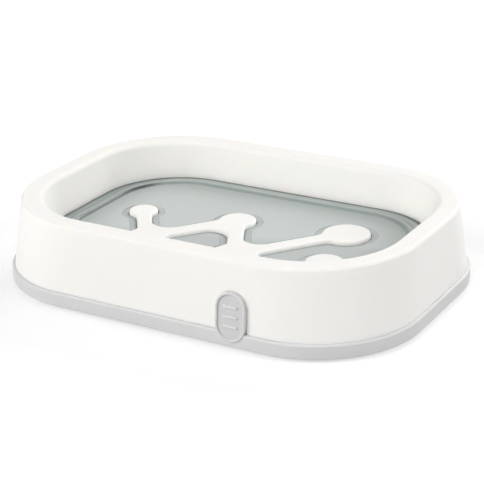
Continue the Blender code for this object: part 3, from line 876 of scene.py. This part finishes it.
@dataclass(frozen=True)
class DrainPlate:
    """The smoked plate: flat border, raised ridge and flat field, cut out round the rib."""

    bottom: float
    crest_top: float
    outer_set_in: float
    corner_extra: float
    rib: SoapRib
    border_width: float = 3.2 * MM
    edge_rounding: float = 0.4 * MM
    ridge_rise: float = 0.7 * MM
    ridge_outer_slope: float = 1.9 * MM
    ridge_crest: float = 0.8 * MM
    ridge_inner_slope: float = 0.9 * MM
    ridge_foot_rise: float = 0.2 * MM
    ridge_foot_slope: float = 1.3 * MM
    ridge_corner_extra: float = 1.0 * MM
    rib_gap: float = 0.35 * MM
    cut_edge_width: float = 0.35 * MM
    moat_width: float = 2.25 * MM
    moat_line: float = 0.25 * MM
    moat_depth: float = 0.3 * MM
    moat_step: float = 0.15 * MM
    cut_margin: float = 3.0 * MM

    @property
    def top(self) -> float:
        """Height of the field and the border."""
        return self.crest_top - self.ridge_rise

    def section(self) -> list[Station]:
        """The plate's section, from the middle of its underside to the middle of its field."""
        extra = self.corner_extra
        inner = extra + self.ridge_corner_extra
        border_end = self.outer_set_in + self.border_width
        crest_start = border_end + self.ridge_outer_slope
        crest_end = crest_start + self.ridge_crest
        step_foot = crest_end + self.ridge_inner_slope
        edge_foot = Station(self.outer_set_in, self.top - self.edge_rounding, extra)
        edge_top = Station(self.outer_set_in + self.edge_rounding, self.top, extra)
        slope_foot = Station(border_end, self.top, extra)
        slope_top = Station(crest_start, self.crest_top, extra)
        crest = Station(crest_end, self.crest_top, inner)
        foot = Station(step_foot, self.top + self.ridge_foot_rise, inner)
        field_edge = Station(step_foot + self.ridge_foot_slope, self.top, inner)
        return [
            Station(self.outer_set_in + self.edge_rounding / 2, self.bottom, extra),
            Station(self.outer_set_in, self.bottom + self.edge_rounding / 2, extra),
            edge_foot, *quarter_round(edge_foot, edge_top, False),
            slope_foot, *eased(slope_foot, slope_top),
            *eased(crest, foot), *quarter_round(foot, field_edge, False),
        ]

    def build(self, workshop: Workshop) -> Piece:
        """Build the plate, with darker copies of the smoked plastic on its cut edge, its sunk strip and the
        strip's step, as painted shade round the rib.

        Args:
            workshop: What the plate is made with.

        Returns:
            The plate as one closed mesh.
        """
        plastics = workshop.plastics
        piece = workshop.sweep.make(
            "drain_plate_fine", self.section(), workshop.plan, plastics["smoked_plastic"])
        outer = self.rib_gap + self.moat_width
        section = (
            (self.rib_gap, self.bottom - self.cut_margin),
            (self.rib_gap, self.top - self.moat_depth),
            (self.rib_gap + self.cut_edge_width, self.top - self.moat_depth),
            (outer - self.moat_line, self.top - self.moat_step),
            (outer, self.top - self.moat_step / 2),
            (outer, self.top + self.cut_margin),
        )
        # The cut edge, the sunk strip and its step get painted shade: darker copies of the smoked plastic
        moat, edge, line = range(3)
        cutter = self.rib.bodies("rib_cut_out", section, slots=(edge, edge, moat, line, line))
        for finish_or_shade in ("smoked_moat", "smoked_cut_edge", "smoked_moat_line"):
            cutter.data.materials.append(plastics[finish_or_shade])
        combine(piece, cutter, Join.CUT)
        return smooth(piece)


@dataclass(frozen=True)
class PullTab:
    """The upright pull tab on the front of the tray, with short raised grip bars."""

    top: float
    plan: Plan
    dish: DishBody
    centre_x: float = 25.4 * MM
    width: float = 10.0 * MM
    height: float = 15.3 * MM
    proud: float = 0.499 * MM
    rim_width: float = 0.9 * MM
    rim_rounding: float = 0.35 * MM
    recess: float = 0.5 * MM
    mouth_slack: float = 0.02 * MM
    pocket_margin: float = 0.35 * MM
    side_gap: float = 0.05 * MM
    grip_count: int = 3
    grip_pitch: float = 3.0 * MM
    grip_length: float = 5.0 * MM
    grip_width: float = 1.0 * MM
    grip_rise: float = 0.45 * MM

    @property
    def bottom(self) -> float:
        """Height of the tab's lower end."""
        return self.top - self.height

    @property
    def centre_z(self) -> float:
        """Height of the tab's middle."""
        return self.top - self.height / 2

    @property
    def pocket_y(self) -> float:
        """Y of the flat back of the pocket in the dish's wall."""
        set_in = self.dish.wall_set_in_bottom + self.dish.wall_lean * (self.top - self.dish.bottom)
        return -(self.plan.width / 2 - set_in - self.pocket_margin)

    def front(self, z: float) -> float:
        """Y of the tab's front plane at a height: it leans back with the dish's wall."""
        return -(self.plan.width / 2 + self.proud) + self.dish.wall_lean * (z - self.bottom)

    def _pill(self, inset: float, depth: float) -> Ring:
        """One ring of the tab.

        Args:
            inset: How far the ring lies in from the tab's outline.
            depth: How far the ring lies behind the tab's front plane.

        Returns:
            The ring's points.
        """
        radius = self.width / 2 - inset
        outline = pill(self.height / 2 - inset - radius, radius, SMOOTH.pill_steps)
        spots = [(self.centre_x - across, self.centre_z + along) for along, across in outline]
        return [(x, self.front(z) + depth, z) for x, z in spots]

    def body(self) -> Piece:
        """The tab before its field is sunk: flat back and a front with a rounded edge."""
        rounding = self.rim_rounding
        back = self.pocket_y - self.side_gap
        rings = [[(x, back, z) for x, _, z in self._pill(0.0, 0.0)]]
        for cosine, sine in circle_steps(SMOOTH.rounding_steps):
            rings.append(self._pill(rounding * (1 - cosine), rounding * (1 - sine)))
        return loft("pull_tab", rings)

    def sunk_field(self) -> Piece:
        """Cutter that sinks the tab's field, also where the band lies behind it.

        Its flat end is made of strips that meet on the middle line, so that the grip bars stand across
        their edges and leave no face with a hole in it.
        """
        rounding, rim = self.rim_rounding, self.rim_width
        turns = circle_steps(SMOOTH.rounding_steps)[1:]
        mouth = rim - rounding - self.mouth_slack
        fillet = self.recess - rounding
        line = [(mouth, -self.recess), (mouth, -self.mouth_slack / 2)]
        line += [(rim - rounding * (1 - sine), rounding * (1 - cosine)) for cosine, sine in turns]
        line += [(rim + fillet * (1 - cosine), rounding + fillet * sine) for cosine, sine in turns]
        line.append((self.width / 2 - self.mouth_slack, self.recess))
        return loft("tab_field", [self._pill(inset, depth) for inset, depth in line])

    def grips(self, workshop: Workshop) -> Piece:
        """The short grip bars on the tab's field.

        Args:
            workshop: What the tray is made with.

        Returns:
            One object that holds all the bars.
        """
        lean, radius, steps = self.dish.wall_lean, self.grip_width / 2, SMOOTH.rounding_steps
        half = self.grip_length / 2 - radius
        section = [(0.0, self.grip_rise)]
        for cosine, sine in circle_steps(steps + 1)[:-1]:
            section.append((radius * (1 - cosine), -self.grip_rise * sine))
        rings = [[(x, depth + lean * z, z) for x, z in pill(half, radius - inset, steps)]
                 for inset, depth in section]
        from_middle = [index - (self.grip_count - 1) / 2 for index in range(self.grip_count)]
        heights = [self.centre_z + count * self.grip_pitch for count in from_middle]
        places = [(self.centre_x, self.front(z) + self.recess, z) for z in heights]
        grey = workshop.plastics["grey_plastic"]
        return workshop.repeat.make("grip_bars", loft("grip_bar", rings), places, [0.0] * len(places), grey)

    def pocket(self) -> Piece:
        """Cutter for the pocket in the dish's wall, open at the dish's bottom edge."""
        radius = self.width / 2 + self.side_gap
        spring_z = self.top - self.width / 2
        foot_z = self.dish.bottom - self.dish.cut_margin
        section = [(self.centre_x - radius, foot_z), (self.centre_x + radius, foot_z)]
        for cosine, sine in circle_steps(SMOOTH.pill_steps, math.pi):
            section.append((self.centre_x + radius * cosine, spring_z + radius * sine))
        outside_y = -(self.plan.width / 2 + self.dish.cut_margin)
        return loft("tab_pocket", [[(x, y, z) for x, z in section] for y in (outside_y, self.pocket_y)])


@dataclass(frozen=True)
class SuctionCup:
    """A soft cup: hollow foot, shoulder, neck through its boss and a button head above it."""

    corner: Corner
    centre: Point
    radius: float
    top: float
    lip_width: float = 1.5 * MM
    lip_thickness: float = 0.7 * MM
    lip_rounding: float = 0.2 * MM
    hollow_depth: float = 2.2 * MM
    shoulder_radius: float = 5.2 * MM
    shoulder_top: float = 4.7 * MM
    neck_radius: float = 3.2 * MM
    head_radius: float = 5.2 * MM
    head_edge: float = 0.6 * MM
    head_height: float = 1.8 * MM
    head_crown_radius: float = 0.5 * MM

    @classmethod
    def from_frame(cls, corner: Corner) -> "SuctionCup":
        """The cup of a corner, where and as large as its solid is."""
        low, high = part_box(corner.node)
        middle = (low + high) / 2
        return cls(corner, (middle.x, middle.y, 0.0), (high.x - low.x) / 2, high.z)

    @property
    def head_bottom(self) -> float:
        """Height of the button head's underside."""
        return self.top - self.head_height

    def _station(self, radius: float, z: float) -> Station:
        """Station at a radius and a height."""
        return Station(self.radius - radius, z)

    def section(self) -> list[Station]:
        """The cup's section, from the middle of its hollow to the middle of its head."""
        lip_inner = self.radius - self.lip_width
        crown = self.head_crown_radius
        steps = 2 * SMOOTH.rounding_steps
        stations = []
        for step in range(1, steps + 1):
            share = step / (steps + 1)
            depth = self.hollow_depth * (1 - share ** 2)
            stations.append(self._station(crown + (lip_inner - crown) * share, depth))
        outer = self._station(self.radius, self.lip_rounding)
        edge = self._station(self.radius - self.lip_rounding, 0.0)
        brim = self._station(self.radius - self.lip_rounding, self.lip_thickness)
        stations += [self._station(lip_inner, 0.0), edge, *quarter_round(edge, outer, True)]
        stations += quarter_round(outer, brim, False)
        rise = self.shoulder_top - self.lip_thickness
        run = self.radius - self.lip_rounding - self.shoulder_radius
        for cosine, sine in circle_steps(steps)[1:]:
            reach = self.shoulder_radius + run * (1 - sine)
            stations.append(self._station(reach, self.lip_thickness + rise * (1 - cosine)))
        stations += [
            self._station(self.neck_radius, self.shoulder_top),
            self._station(self.neck_radius, self.head_bottom),
            self._station(self.head_radius, self.head_bottom),
        ]
        for cosine, sine in circle_steps(steps):
            dome = self.head_edge + (self.head_height - self.head_edge) * sine
            reach = crown + (self.head_radius - crown) * cosine
            stations.append(self._station(reach, self.head_bottom + dome))
        return stations

    def build(self, workshop: Workshop) -> Piece:
        """Build the cup as one closed mesh."""
        return smooth(workshop.sweep.make(
            f"soft_cup_{self.corner.value}", self.section(), Plan.round(self.radius),
            workshop.plastics["soft_cup"], self.centre))


@dataclass(frozen=True)
class BaseTray:
    """The grey tray: band, ledge, locating lip, basin, cup bosses and pull tab."""

    foot: float
    dish: DishBody
    tab: PullTab
    cups: tuple[SuctionCup, ...]
    corner_radius: float = 34 * MM
    band_height: float = 4.5 * MM
    band_rounding: float = 0.7 * MM
    band_foot_rounding: float = 0.4 * MM
    wall: float = 1.8 * MM
    floor_lift: float = 0.4 * MM
    lip_wall: float = 1.6 * MM
    lip_height: float = 4.0 * MM
    lip_chamfer: float = 0.3 * MM
    side_gap: float = 0.3 * MM
    basin_fillet: float = 1.0 * MM
    cup_pocket_gap: float = 0.8 * MM
    cup_pocket_ceiling: float = 5.0 * MM
    boss_wall: float = 1.6 * MM
    boss_rounding: float = 0.5 * MM
    cut_margin: float = 3.0 * MM

    @property
    def band_top(self) -> float:
        """Height of the ledge."""
        return self.foot + self.band_height

    @property
    def underside(self) -> float:
        """Height of the floor's underside."""
        return self.foot + self.floor_lift

    @property
    def basin_floor(self) -> float:
        """Height of the basin's floor."""
        return self.underside + self.wall

    def section(self) -> list[Station]:
        """The tray's section, from the middle of its underside to the middle of its basin."""
        skirt = self.dish.skirt_inside
        lip_top = self.band_top + self.lip_height
        lip_inside = self.side_gap + self.lip_wall
        groove_top = self.band_top - self.wall
        groove = skirt(self.underside).set_in + lip_inside - self.wall
        foot = Station(self.band_foot_rounding, self.foot)
        face_low = Station(0.0, self.foot + self.band_foot_rounding)
        face_top = Station(0.0, self.band_top - self.band_rounding)
        ledge = Station(self.band_rounding, self.band_top)
        shoulder, crest = skirt(lip_top - self.lip_chamfer), skirt(lip_top)
        fillet_top = skirt(self.basin_floor + self.basin_fillet).inwards(lip_inside)
        fillet_foot = skirt(self.basin_floor).inwards(lip_inside + self.basin_fillet)
        return [
            Station(groove, self.underside), Station(groove, groove_top),
            Station(self.wall, groove_top), Station(self.wall, self.foot),
            foot, *quarter_round(foot, face_low, True),
            face_top, *quarter_round(face_top, ledge, False),
            skirt(self.band_top).inwards(self.side_gap), shoulder.inwards(self.side_gap),
            crest.inwards(self.side_gap + self.lip_chamfer), crest.inwards(lip_inside - self.lip_chamfer),
            shoulder.inwards(lip_inside), fillet_top, *quarter_round(fillet_top, fillet_foot, False),
        ]

    @staticmethod
    def _turned(workshop: Workshop, name: str, cup: SuctionCup, line: Sequence[Pair]) -> Piece:
        """A turned grey body round a cup's axis.

        Args:
            workshop: What the tray is made with.
            name: Name of the new object.
            cup: The cup whose axis is used.
            line: (radius, height) of each point, from one end's middle to the other's.

        Returns:
            The turned body.
        """
        largest = max(radius for radius, _ in line)
        stations = [Station(largest - radius, z) for radius, z in line]
        grey = workshop.plastics["grey_plastic"]
        return workshop.sweep.make(name, stations, Plan.round(largest), grey, cup.centre)

    def build(self, workshop: Workshop) -> Piece:
        """Build the tray.

        Args:
            workshop: What the tray is made with.

        Returns:
            The tray as one closed mesh.
        """
        plastics = workshop.plastics
        piece = workshop.sweep.make("tray", self.section(), workshop.plan, plastics["grey_plastic"])
        boss_top = self.cup_pocket_ceiling + self.boss_wall
        for cup in self.cups:
            pocket = cup.radius + self.cup_pocket_gap
            boss = pocket + self.boss_wall
            hole = cup.neck_radius + self.side_gap
            boss_line = ((boss, self.underside + self.wall / 2), (boss, boss_top - self.boss_rounding),
                         (boss - self.boss_rounding, boss_top))
            pocket_line = ((pocket, self.underside - self.cut_margin), (pocket, self.cup_pocket_ceiling),
                           (hole, self.cup_pocket_ceiling), (hole, boss_top + self.cut_margin))
            combine(piece, self._turned(workshop, "cup_boss", cup, boss_line), Join.ADD)
            combine(piece, self._turned(workshop, "cup_pocket", cup, pocket_line), Join.CUT)
        combine(piece, self.tab.body(), Join.ADD)
        # The sunk field takes a darker grey: painted shade of the recess
        sunk = self.tab.sunk_field()
        sunk.data.materials.append(plastics["grey_field"])
        combine(piece, sunk, Join.CUT)
        combine(piece, self.tab.grips(workshop), Join.ADD)
        return smooth(piece)


class ShaderGroups:
    """Shader node groups that more than one finish uses."""

    cloud_edges: Pair = (0.3, 0.7)
    streak_edges: Pair = (0.52, 0.72)
    streak_squeeze: Point = (0.25, 1.0, 1.6)

    def __init__(self) -> None:
        """Build the groups."""
        self.skin = self._skin()
        self.scuffs = self._scuffs()
        self.inset = self._inset()

    def _skin(self) -> bpy.types.NodeTree:
        """Slow clouds of a second colour and a fine moulded grain.

        Returns:
            The group, which gives Color and Height.
        """
        writer, inside = new_group("moulded skin", "Shader", {
            "Color": "Color", "Cloud Color": "Color", "Cloud Scale": "Float", "Grain Scale": "Float",
        }, {"Color": "Color", "Height": "Float"})
        where = writer.place()
        cloud = writer.noise(where, inside["Cloud Scale"], detail=3.0, roughness=0.55)
        spread = writer.remap(cloud, self.cloud_edges, smooth=True)
        mixed = writer.blend(spread, inside["Color"], inside["Cloud Color"])
        grain = writer.noise(where, inside["Grain Scale"], detail=2.0, roughness=0.6)
        writer.add("NodeGroupOutput", {0: mixed, 1: grain})
        return writer.tree

    def _scuffs(self) -> bpy.types.NodeTree:
        """Faint rubbed streaks, longest along the holder.

        Returns:
            The group, which gives a Mask from 0 to 1.
        """
        writer, inside = new_group(
            "rubbed streaks", "Shader", {"Scale": "Float", "Amount": "Float"}, {"Mask": "Float"})
        long = writer.add("ShaderNodeMapping", {"Vector": writer.place(), "Scale": self.streak_squeeze})
        noise = writer.noise(long.outputs[0], inside["Scale"], detail=4.0, roughness=0.7)
        streak = writer.remap(noise, self.streak_edges, smooth=True)
        writer.add("NodeGroupOutput", {0: writer.math("MULTIPLY", streak, inside["Amount"])})
        return writer.tree

    @staticmethod
    def _inset() -> bpy.types.NodeTree:
        """Distance in from a rounded rectangle.

        Returns:
            The group, which gives Inset in metres.
        """
        writer, inside = new_group("distance in", "Shader", {
            "Length": "Float", "Width": "Float", "Corner Radius": "Float"}, {"Inset": "Float"})
        calc, where, radius = writer.math, writer.split(writer.place()), inside["Corner Radius"]
        over, outside = [], []
        for axis, size in ((0, "Length"), (1, "Width")):
            core = calc("SUBTRACT", calc("MULTIPLY", inside[size], 0.5), radius)
            over.append(calc("SUBTRACT", calc("ABSOLUTE", where[axis]), core))
            outside.append(calc("POWER", calc("MAXIMUM", over[axis], 0.0), 2.0))
        far = calc("SQRT", calc("ADD", outside[0], outside[1]))
        near = calc("MINIMUM", calc("MAXIMUM", over[0], over[1]), 0.0)
        writer.add("NodeGroupOutput", {0: calc("SUBTRACT", radius, calc("ADD", far, near))})
        return writer.tree


@dataclass(frozen=True)
class MouldedPlastic:
    """A moulded plastic: its colours, gloss, grain and rubbed streaks."""

    name: str
    color: Color
    cloud_color: Color
    roughness: float
    polished_roughness: float
    cloud_scale: float = 25.0
    grain_scale: float = 2600.0
    grain_depth: float = 0.02 * MM
    grain_strength: float = 0.15
    streak_scale: float = 90.0
    streak_amount: float = 0.35
    specular: float = 0.5
    alpha: float = 1.0
    glow_through: float = 0.0
    glow_reach: Color = (1.0 * MM, 0.85 * MM, 0.7 * MM)

    def material(self, groups: ShaderGroups) -> Material:
        """Make the material.

        Args:
            groups: The shared shader groups.

        Returns:
            A node material.
        """
        made, shader, writer = new_material(self.name)
        skin = writer.add("ShaderNodeGroup", {
            "Color": (*self.color, 1.0), "Cloud Color": (*self.cloud_color, 1.0),
            "Cloud Scale": self.cloud_scale, "Grain Scale": self.grain_scale,
        }, node_tree=groups.skin).outputs
        streaks = writer.add("ShaderNodeGroup", {
            "Scale": self.streak_scale, "Amount": self.streak_amount}, node_tree=groups.scuffs)
        bump = writer.add("ShaderNodeBump", {
            "Height": skin["Height"], "Distance": self.grain_depth, "Strength": self.grain_strength})
        writer.feed(shader, {
            "Base Color": self.tint(writer, skin["Color"], groups),
            "Roughness": writer.remap(streaks.outputs[0], target=(self.roughness, self.polished_roughness)),
            "Normal": bump.outputs[0],
            "Specular IOR Level": self.specular,
            "Alpha": self.alpha,
            "Subsurface Weight": self.glow_through,
            "Subsurface Scale": 1.0,
            "Subsurface Radius": self.glow_reach,
        })
        return made

    def tint(self, writer: NodeWriter, color: Socket, groups: ShaderGroups) -> Socket:
        """The colour that reaches the shader, here the skin's own."""
        return color


@dataclass(frozen=True)
class BorderTone:
    """How light the smoked plate's painted shade and highlights make it at a distance in from the band."""

    set_in: float
    tone: float
    on_ridge: bool = True


@dataclass(frozen=True)
class SmokedPlastic(MouldedPlastic):
    """Smoked plastic with painted shade and highlights in its border, partly the thick plate's own darker
    tone and partly the shading of its edge and ridge, and painted shade on the field's front.
    """

    plan: Plan = Plan(length=140.0 * MM, width=100.0 * MM, corner_radius=39.0 * MM)
    tones: tuple[BorderTone, ...] = ()
    # How deep the ridge's painted shade is on each side, where light falls differently
    left_strength: float = 1.45
    back_strength: float = 0.7
    right_strength: float = 0.8
    red_depth: float = 1.15
    blue_depth: float = 1.04
    # Painted shade on the field, darker towards the front
    painted_front_shade: float = 0.875
    front_slant: float = 0.25
    front_full: float = -8.5 * MM
    front_start: float = -2.5 * MM
    left_full: float = -50.5 * MM
    left_from: float = -44.0 * MM
    right_from: float = 35.5 * MM
    right_full: float = 41.0 * MM

    def _ramp(self, writer: NodeWriter, inset: Socket, strength: float) -> Socket:
        """Colour ramp over the border's painted shade and highlights.

        Args:
            writer: Writer on the material's tree.
            inset: Distance in from the plan.
            strength: How deep the ridge's painted shade is on this side.

        Returns:
            The tone's colour.
        """
        first, last = self.tones[0].set_in, self.tones[-1].set_in
        ramp = writer.add("ShaderNodeValToRGB", {0: writer.remap(inset, (first, last))})
        stops = ramp.color_ramp.elements
        for index, border in enumerate(self.tones):
            place = (border.set_in - first) / (last - first)
            stop = stops[index] if index < len(stops) else stops.new(place)
            tone = 1.0 - (1.0 - border.tone) * (strength if border.on_ridge else 1.0)
            stop.position = place
            stop.color = (tone ** self.red_depth, tone, tone ** self.blue_depth, 1.0)
        return ramp.outputs[0]

    def tint(self, writer: NodeWriter, color: Socket, groups: ShaderGroups) -> Socket:
        """Paint shade into the border by its distance in from the band, deeper on the left, and paint a
        little shade on the field's front.

        Args:
            writer: Writer on the material's tree.
            color: The skin's colour.
            groups: The shared shader groups.

        Returns:
            The tinted colour.
        """
        inset = writer.add("ShaderNodeGroup", {
            "Length": self.plan.length, "Width": self.plan.width, "Corner Radius": self.plan.corner_radius,
        }, node_tree=groups.inset).outputs[0]
        left = self._ramp(writer, inset, self.left_strength)
        back = self._ramp(writer, inset, self.back_strength)
        right = self._ramp(writer, inset, self.right_strength)
        where = writer.place()
        along = writer.split(where)[0]
        off_left = writer.remap(along, (self.left_full, self.left_from), smooth=True)
        at_right = writer.remap(along, (self.right_from, self.right_full), smooth=True)
        border = writer.blend(at_right, writer.blend(off_left, left, back), right)
        bordered = writer.blend(1.0, color, border, "MULTIPLY")
        slanted = writer.vector("DOT_PRODUCT", where, (-self.front_slant, 1.0, 0.0), result="Value")
        front = writer.remap(
            slanted, (self.front_full, self.front_start), (self.painted_front_shade, 1.0), smooth=True)
        dimmed = writer.add("ShaderNodeVectorMath", {0: bordered, "Scale": front}, operation="SCALE")
        return dimmed.outputs[0]


@dataclass(frozen=True)
class ShadedStripPlastic(MouldedPlastic):
    """Darker smoked plastic painted as shade on the sunk strip, which fades into the field's colour where
    the strip faces the front.
    """

    field_color: Color = (0.490, 0.523, 0.513)
    fade_from: float = 0.35
    fade_to: float = 0.95

    def tint(self, writer: NodeWriter, color: Socket, groups: ShaderGroups) -> Socket:
        """Fade the painted shade into the field's colour by how far the surface faces the front.

        Args:
            writer: Writer on the material's tree.
            color: The skin's colour.
            groups: The shared shader groups, not used here.

        Returns:
            The faded colour.
        """
        normal = writer.add("ShaderNodeNewGeometry").outputs["True Normal"]
        heading = writer.vector("NORMALIZE", writer.vector("MULTIPLY", normal, (1.0, 1.0, 0.0)))
        front = writer.vector("DOT_PRODUCT", heading, (0.0, -1.0, 0.0), result="Value")
        share = writer.remap(front, (self.fade_from, self.fade_to), smooth=True)
        return writer.blend(share, color, (*self.field_color, 1.0))


@dataclass(frozen=True)
class SoftBox:
    """A square soft light that faces the holder."""

    name: str
    place: Point
    power: float
    size: float = 1.0
    aim: Point = (0.0, 0.0, 0.01)

    def build(self) -> None:
        """Put the light in the scene."""
        light = bpy.data.lights.new(self.name, "AREA")
        light.shape = "SQUARE"
        light.size = self.size
        light.energy = self.power
        lamp = link(self.name, light)
        lamp.location = self.place
        towards = Vector(self.aim) - Vector(self.place)
        lamp.rotation_euler = towards.to_track_quat("-Z", "Y").to_euler()


@dataclass(frozen=True)
class Studio:
    """Plain pale floor, soft studio light and the camera at the photograph's angle."""

    boxes: tuple[SoftBox, ...] = (
        SoftBox("key_light", (-0.8, -1.2, 1.2), 17.1),
        SoftBox("right_light", (1.5, 0.3, 0.9), 17.8),
        SoftBox("back_light", (0.2, 1.6, 1.0), 22.5),
        SoftBox("front_light", (0.2, -1.7, 0.7), 11.8),
        SoftBox("low_left_light", (-1.3, -1.1, 0.5), 6.6),
    )
    ambient: float = 0.02
    floor_half: float = 3.0
    floor_tone: float = 0.5
    floor_roughness: float = 0.9
    floor_glow: float = 0.08
    floor_lift: float = 0.55
    floor_near: float = 0.15
    floor_far: float = 0.6
    image_width: int = 484
    focal_pixels: float = 1529.0
    sensor_width: float = 36.0
    azimuth: float = math.radians(30.22)
    elevation: float = math.radians(21.99)
    roll: float = math.radians(-1.26)
    distance: float = 479.9 * MM
    target: Point = (4.68 * MM, -6.23 * MM, 14.0 * MM)

    def build(self) -> None:
        """Build the floor, the world, the lights and the camera."""
        self._floor()
        self._world()
        for box in self.boxes:
            box.build()
        self._camera()
        bpy.context.scene.view_settings.view_transform = "Standard"

    @staticmethod
    def _seen_directly(writer: NodeWriter) -> Socket:
        """1 for rays from the camera, a mirror image or through glass, and 0 for light on the object."""
        path = writer.add("ShaderNodeLightPath").outputs
        glossy = writer.math("MAXIMUM", path["Is Camera Ray"], path["Is Glossy Ray"])
        return writer.math("MAXIMUM", glossy, path["Is Transmission Ray"])

    def _floor(self) -> None:
        """A large plain floor, lifted to white where it is seen, that keeps the shadow."""
        half, tone = self.floor_half, self.floor_tone
        data = bpy.data.meshes.new("floor")
        corners = [(-half, -half, 0.0), (half, -half, 0.0), (half, half, 0.0), (-half, half, 0.0)]
        data.from_pydata(corners, [], [(0, 1, 2, 3)])
        floor = link("floor", data)
        made, shader, writer = new_material("floor")
        away = writer.vector("LENGTH", writer.place(), result="Value")
        lift = writer.remap(away, (self.floor_near, self.floor_far), (self.floor_lift, 1.0))
        writer.feed(shader, {
            "Base Color": (tone, tone, tone, 1.0),
            "Emission Color": WHITE,
            "Emission Strength": writer.remap(self._seen_directly(writer), target=(self.floor_glow, lift)),
            "Roughness": self.floor_roughness,
            "Specular IOR Level": 0.0,
        })
        data.materials.append(made)

    def _world(self) -> None:
        """A white surround that lights the object less than it shows."""
        world = bpy.data.worlds.new("surround")
        world.use_nodes = True
        bpy.context.scene.world = world
        writer = NodeWriter(world.node_tree)
        strength = writer.remap(self._seen_directly(writer), target=(self.ambient, 1.0))
        writer.feed(world.node_tree.nodes["Background"], {"Color": WHITE, "Strength": strength})

    def _camera(self) -> None:
        """The camera, where the outlines in the photograph place it."""
        data = bpy.data.cameras.new("camera")
        data.sensor_width = self.sensor_width
        data.lens = self.focal_pixels * self.sensor_width / self.image_width
        data.clip_start = MM
        camera = link("camera", data)
        flat = math.cos(self.elevation)
        facing = Vector((math.sin(self.azimuth), -math.cos(self.azimuth), 0.0)) * flat
        back = facing + Vector((0.0, 0.0, math.sin(self.elevation)))
        right = Vector((math.cos(self.azimuth), math.sin(self.azimuth), 0.0))
        up = back.cross(right)
        level, tipped = math.cos(self.roll), math.sin(self.roll)
        right, up = right * level + up * tipped, up * level - right * tipped
        turned = Matrix((right, up, back)).transposed().to_4x4()
        camera.matrix_world = Matrix.Translation(Vector(self.target) + back * self.distance) @ turned
        bpy.context.scene.camera = camera


# The smoked plate's border, inwards from its outer edge: painted shade and painted highlights for the
# shading and reflections of its edge, its ridge and the gap at the dish's wall, partly the thick plastic's
# own darker tone
PAINTED_BORDER_SHADES = (
    BorderTone(11.3 * MM, 0.10, on_ridge=False),  # dark outer edge: painted shade of the gap at the dish's wall, partly the thick edge's own darker tone
    BorderTone(12.4 * MM, 0.30, on_ridge=False),
    BorderTone(13.2 * MM, 0.75),  # flat border
    BorderTone(14.2 * MM, 0.75),
    BorderTone(15.3 * MM, 0.60),  # painted shade on the ridge's outer slope
    BorderTone(16.6 * MM, 0.90),  # painted highlight on the ridge's crest
    BorderTone(17.2 * MM, 0.75),
    BorderTone(17.8 * MM, 0.35),  # painted shade: dark line in the ridge's inner slope
    BorderTone(18.3 * MM, 0.40),
    BorderTone(19.0 * MM, 0.85),
    BorderTone(21.6 * MM, 0.85),  # soft shade beside the ridge
    BorderTone(31.0 * MM, 1.00),  # open field
)

# The finish of each plastic, with its colour, its cloud colour and its dull and polished roughness; the
# darker grey and smoked copies are painted shade
FINISHES_AND_SHADES: tuple[MouldedPlastic, ...] = (
    MouldedPlastic("white_plastic", (0.874, 0.858, 0.826), (0.884, 0.869, 0.840), 0.60, 0.52,
                   specular=0.1, glow_through=0.6),
    MouldedPlastic("grey_plastic", (0.620, 0.620, 0.618), (0.635, 0.635, 0.633), 0.46, 0.38),
    # a darker grey on the tab's sunk field: painted shade of the recess
    MouldedPlastic("grey_field", (0.568, 0.568, 0.566), (0.582, 0.582, 0.580), 0.46, 0.38),
    SmokedPlastic("smoked_plastic", (0.505, 0.538, 0.528), (0.520, 0.553, 0.543), 0.34, 0.28,
                  specular=0.35, tones=PAINTED_BORDER_SHADES),
    # darker copies of the smoked plastic: painted shade in the sunk strip round the rib, on its step and on
    # its cut edge
    ShadedStripPlastic("smoked_moat", (0.420, 0.455, 0.445), (0.435, 0.470, 0.460), 0.34, 0.28,
                specular=0.35),
    ShadedStripPlastic("smoked_moat_line", (0.310, 0.345, 0.338), (0.320, 0.355, 0.348), 0.34, 0.28,
                specular=0.35),
    MouldedPlastic("smoked_cut_edge", (0.240, 0.275, 0.268), (0.250, 0.285, 0.278), 0.34, 0.28,
                   specular=0.35),
    MouldedPlastic("soft_cup", (0.520, 0.545, 0.540), (0.560, 0.585, 0.580), 0.32, 0.24, alpha=0.85),
)


def fit(piece: Piece, body: str, node: str) -> None:
    """Hand a finished piece to the frame.

    Args:
        piece: The finished piece.
        body: The body that it moves with.
        node: The solid that it stands for.
    """
    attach(piece, body)
    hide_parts(node)
    LOG.info("%s: %d faces on %s in place of %s", piece.name, len(piece.data.polygons), body, node)


def measure_frame() -> tuple[Plan, DishBody, DrainPlate, PullTab, BaseTray]:
    """Work out the sub-parts' places and main sizes from the frame.

    Returns:
        The band's plan and the dish, plate, tab and tray.
    """
    tray_low, tray_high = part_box("base_tray")
    dish_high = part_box("dish_body")[1]
    plate_low, plate_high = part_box("drain_plate")
    plan = Plan(tray_high.x - tray_low.x, 2 * tray_high.y, BaseTray.corner_radius)
    rib = SoapRib()
    plate_set_in = plan.length / 2 - plate_high.x
    plate = DrainPlate(plate_low.z, plate_high.z, plate_set_in, DishBody.top_corner_extra, rib)
    ledge = tray_low.z + BaseTray.band_height
    dish = DishBody(ledge + DishBody.seat_gap, dish_high.z, plate.top + rib.rise, rib)
    tab = PullTab(tray_high.z, plan, dish)
    cups = tuple(SuctionCup.from_frame(corner) for corner in Corner)
    return plan, dish, plate, tab, BaseTray(tray_low.z, dish, tab, cups)


def main() -> None:
    """Build the holder and its studio."""
    logging.basicConfig(level=logging.INFO, format="%(name)s: %(message)s")
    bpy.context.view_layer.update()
    plan, dish, plate, tab, tray = measure_frame()
    groups = ShaderGroups()
    plastics = {finish_or_shade.name: finish_or_shade.material(groups) for finish_or_shade in FINISHES_AND_SHADES}
    workshop = Workshop(RoundedSweep(), Repeater(), plan, plastics)
    fit(tray.build(workshop), "base", "base_tray")
    fit(dish.build(workshop, tab), "dish", "dish_body")
    fit(plate.build(workshop), "plate", "drain_plate")
    for cup in tray.cups:
        fit(cup.build(workshop), "base", cup.corner.node)
    Studio().build()


if __name__ == "__main__":
    main()
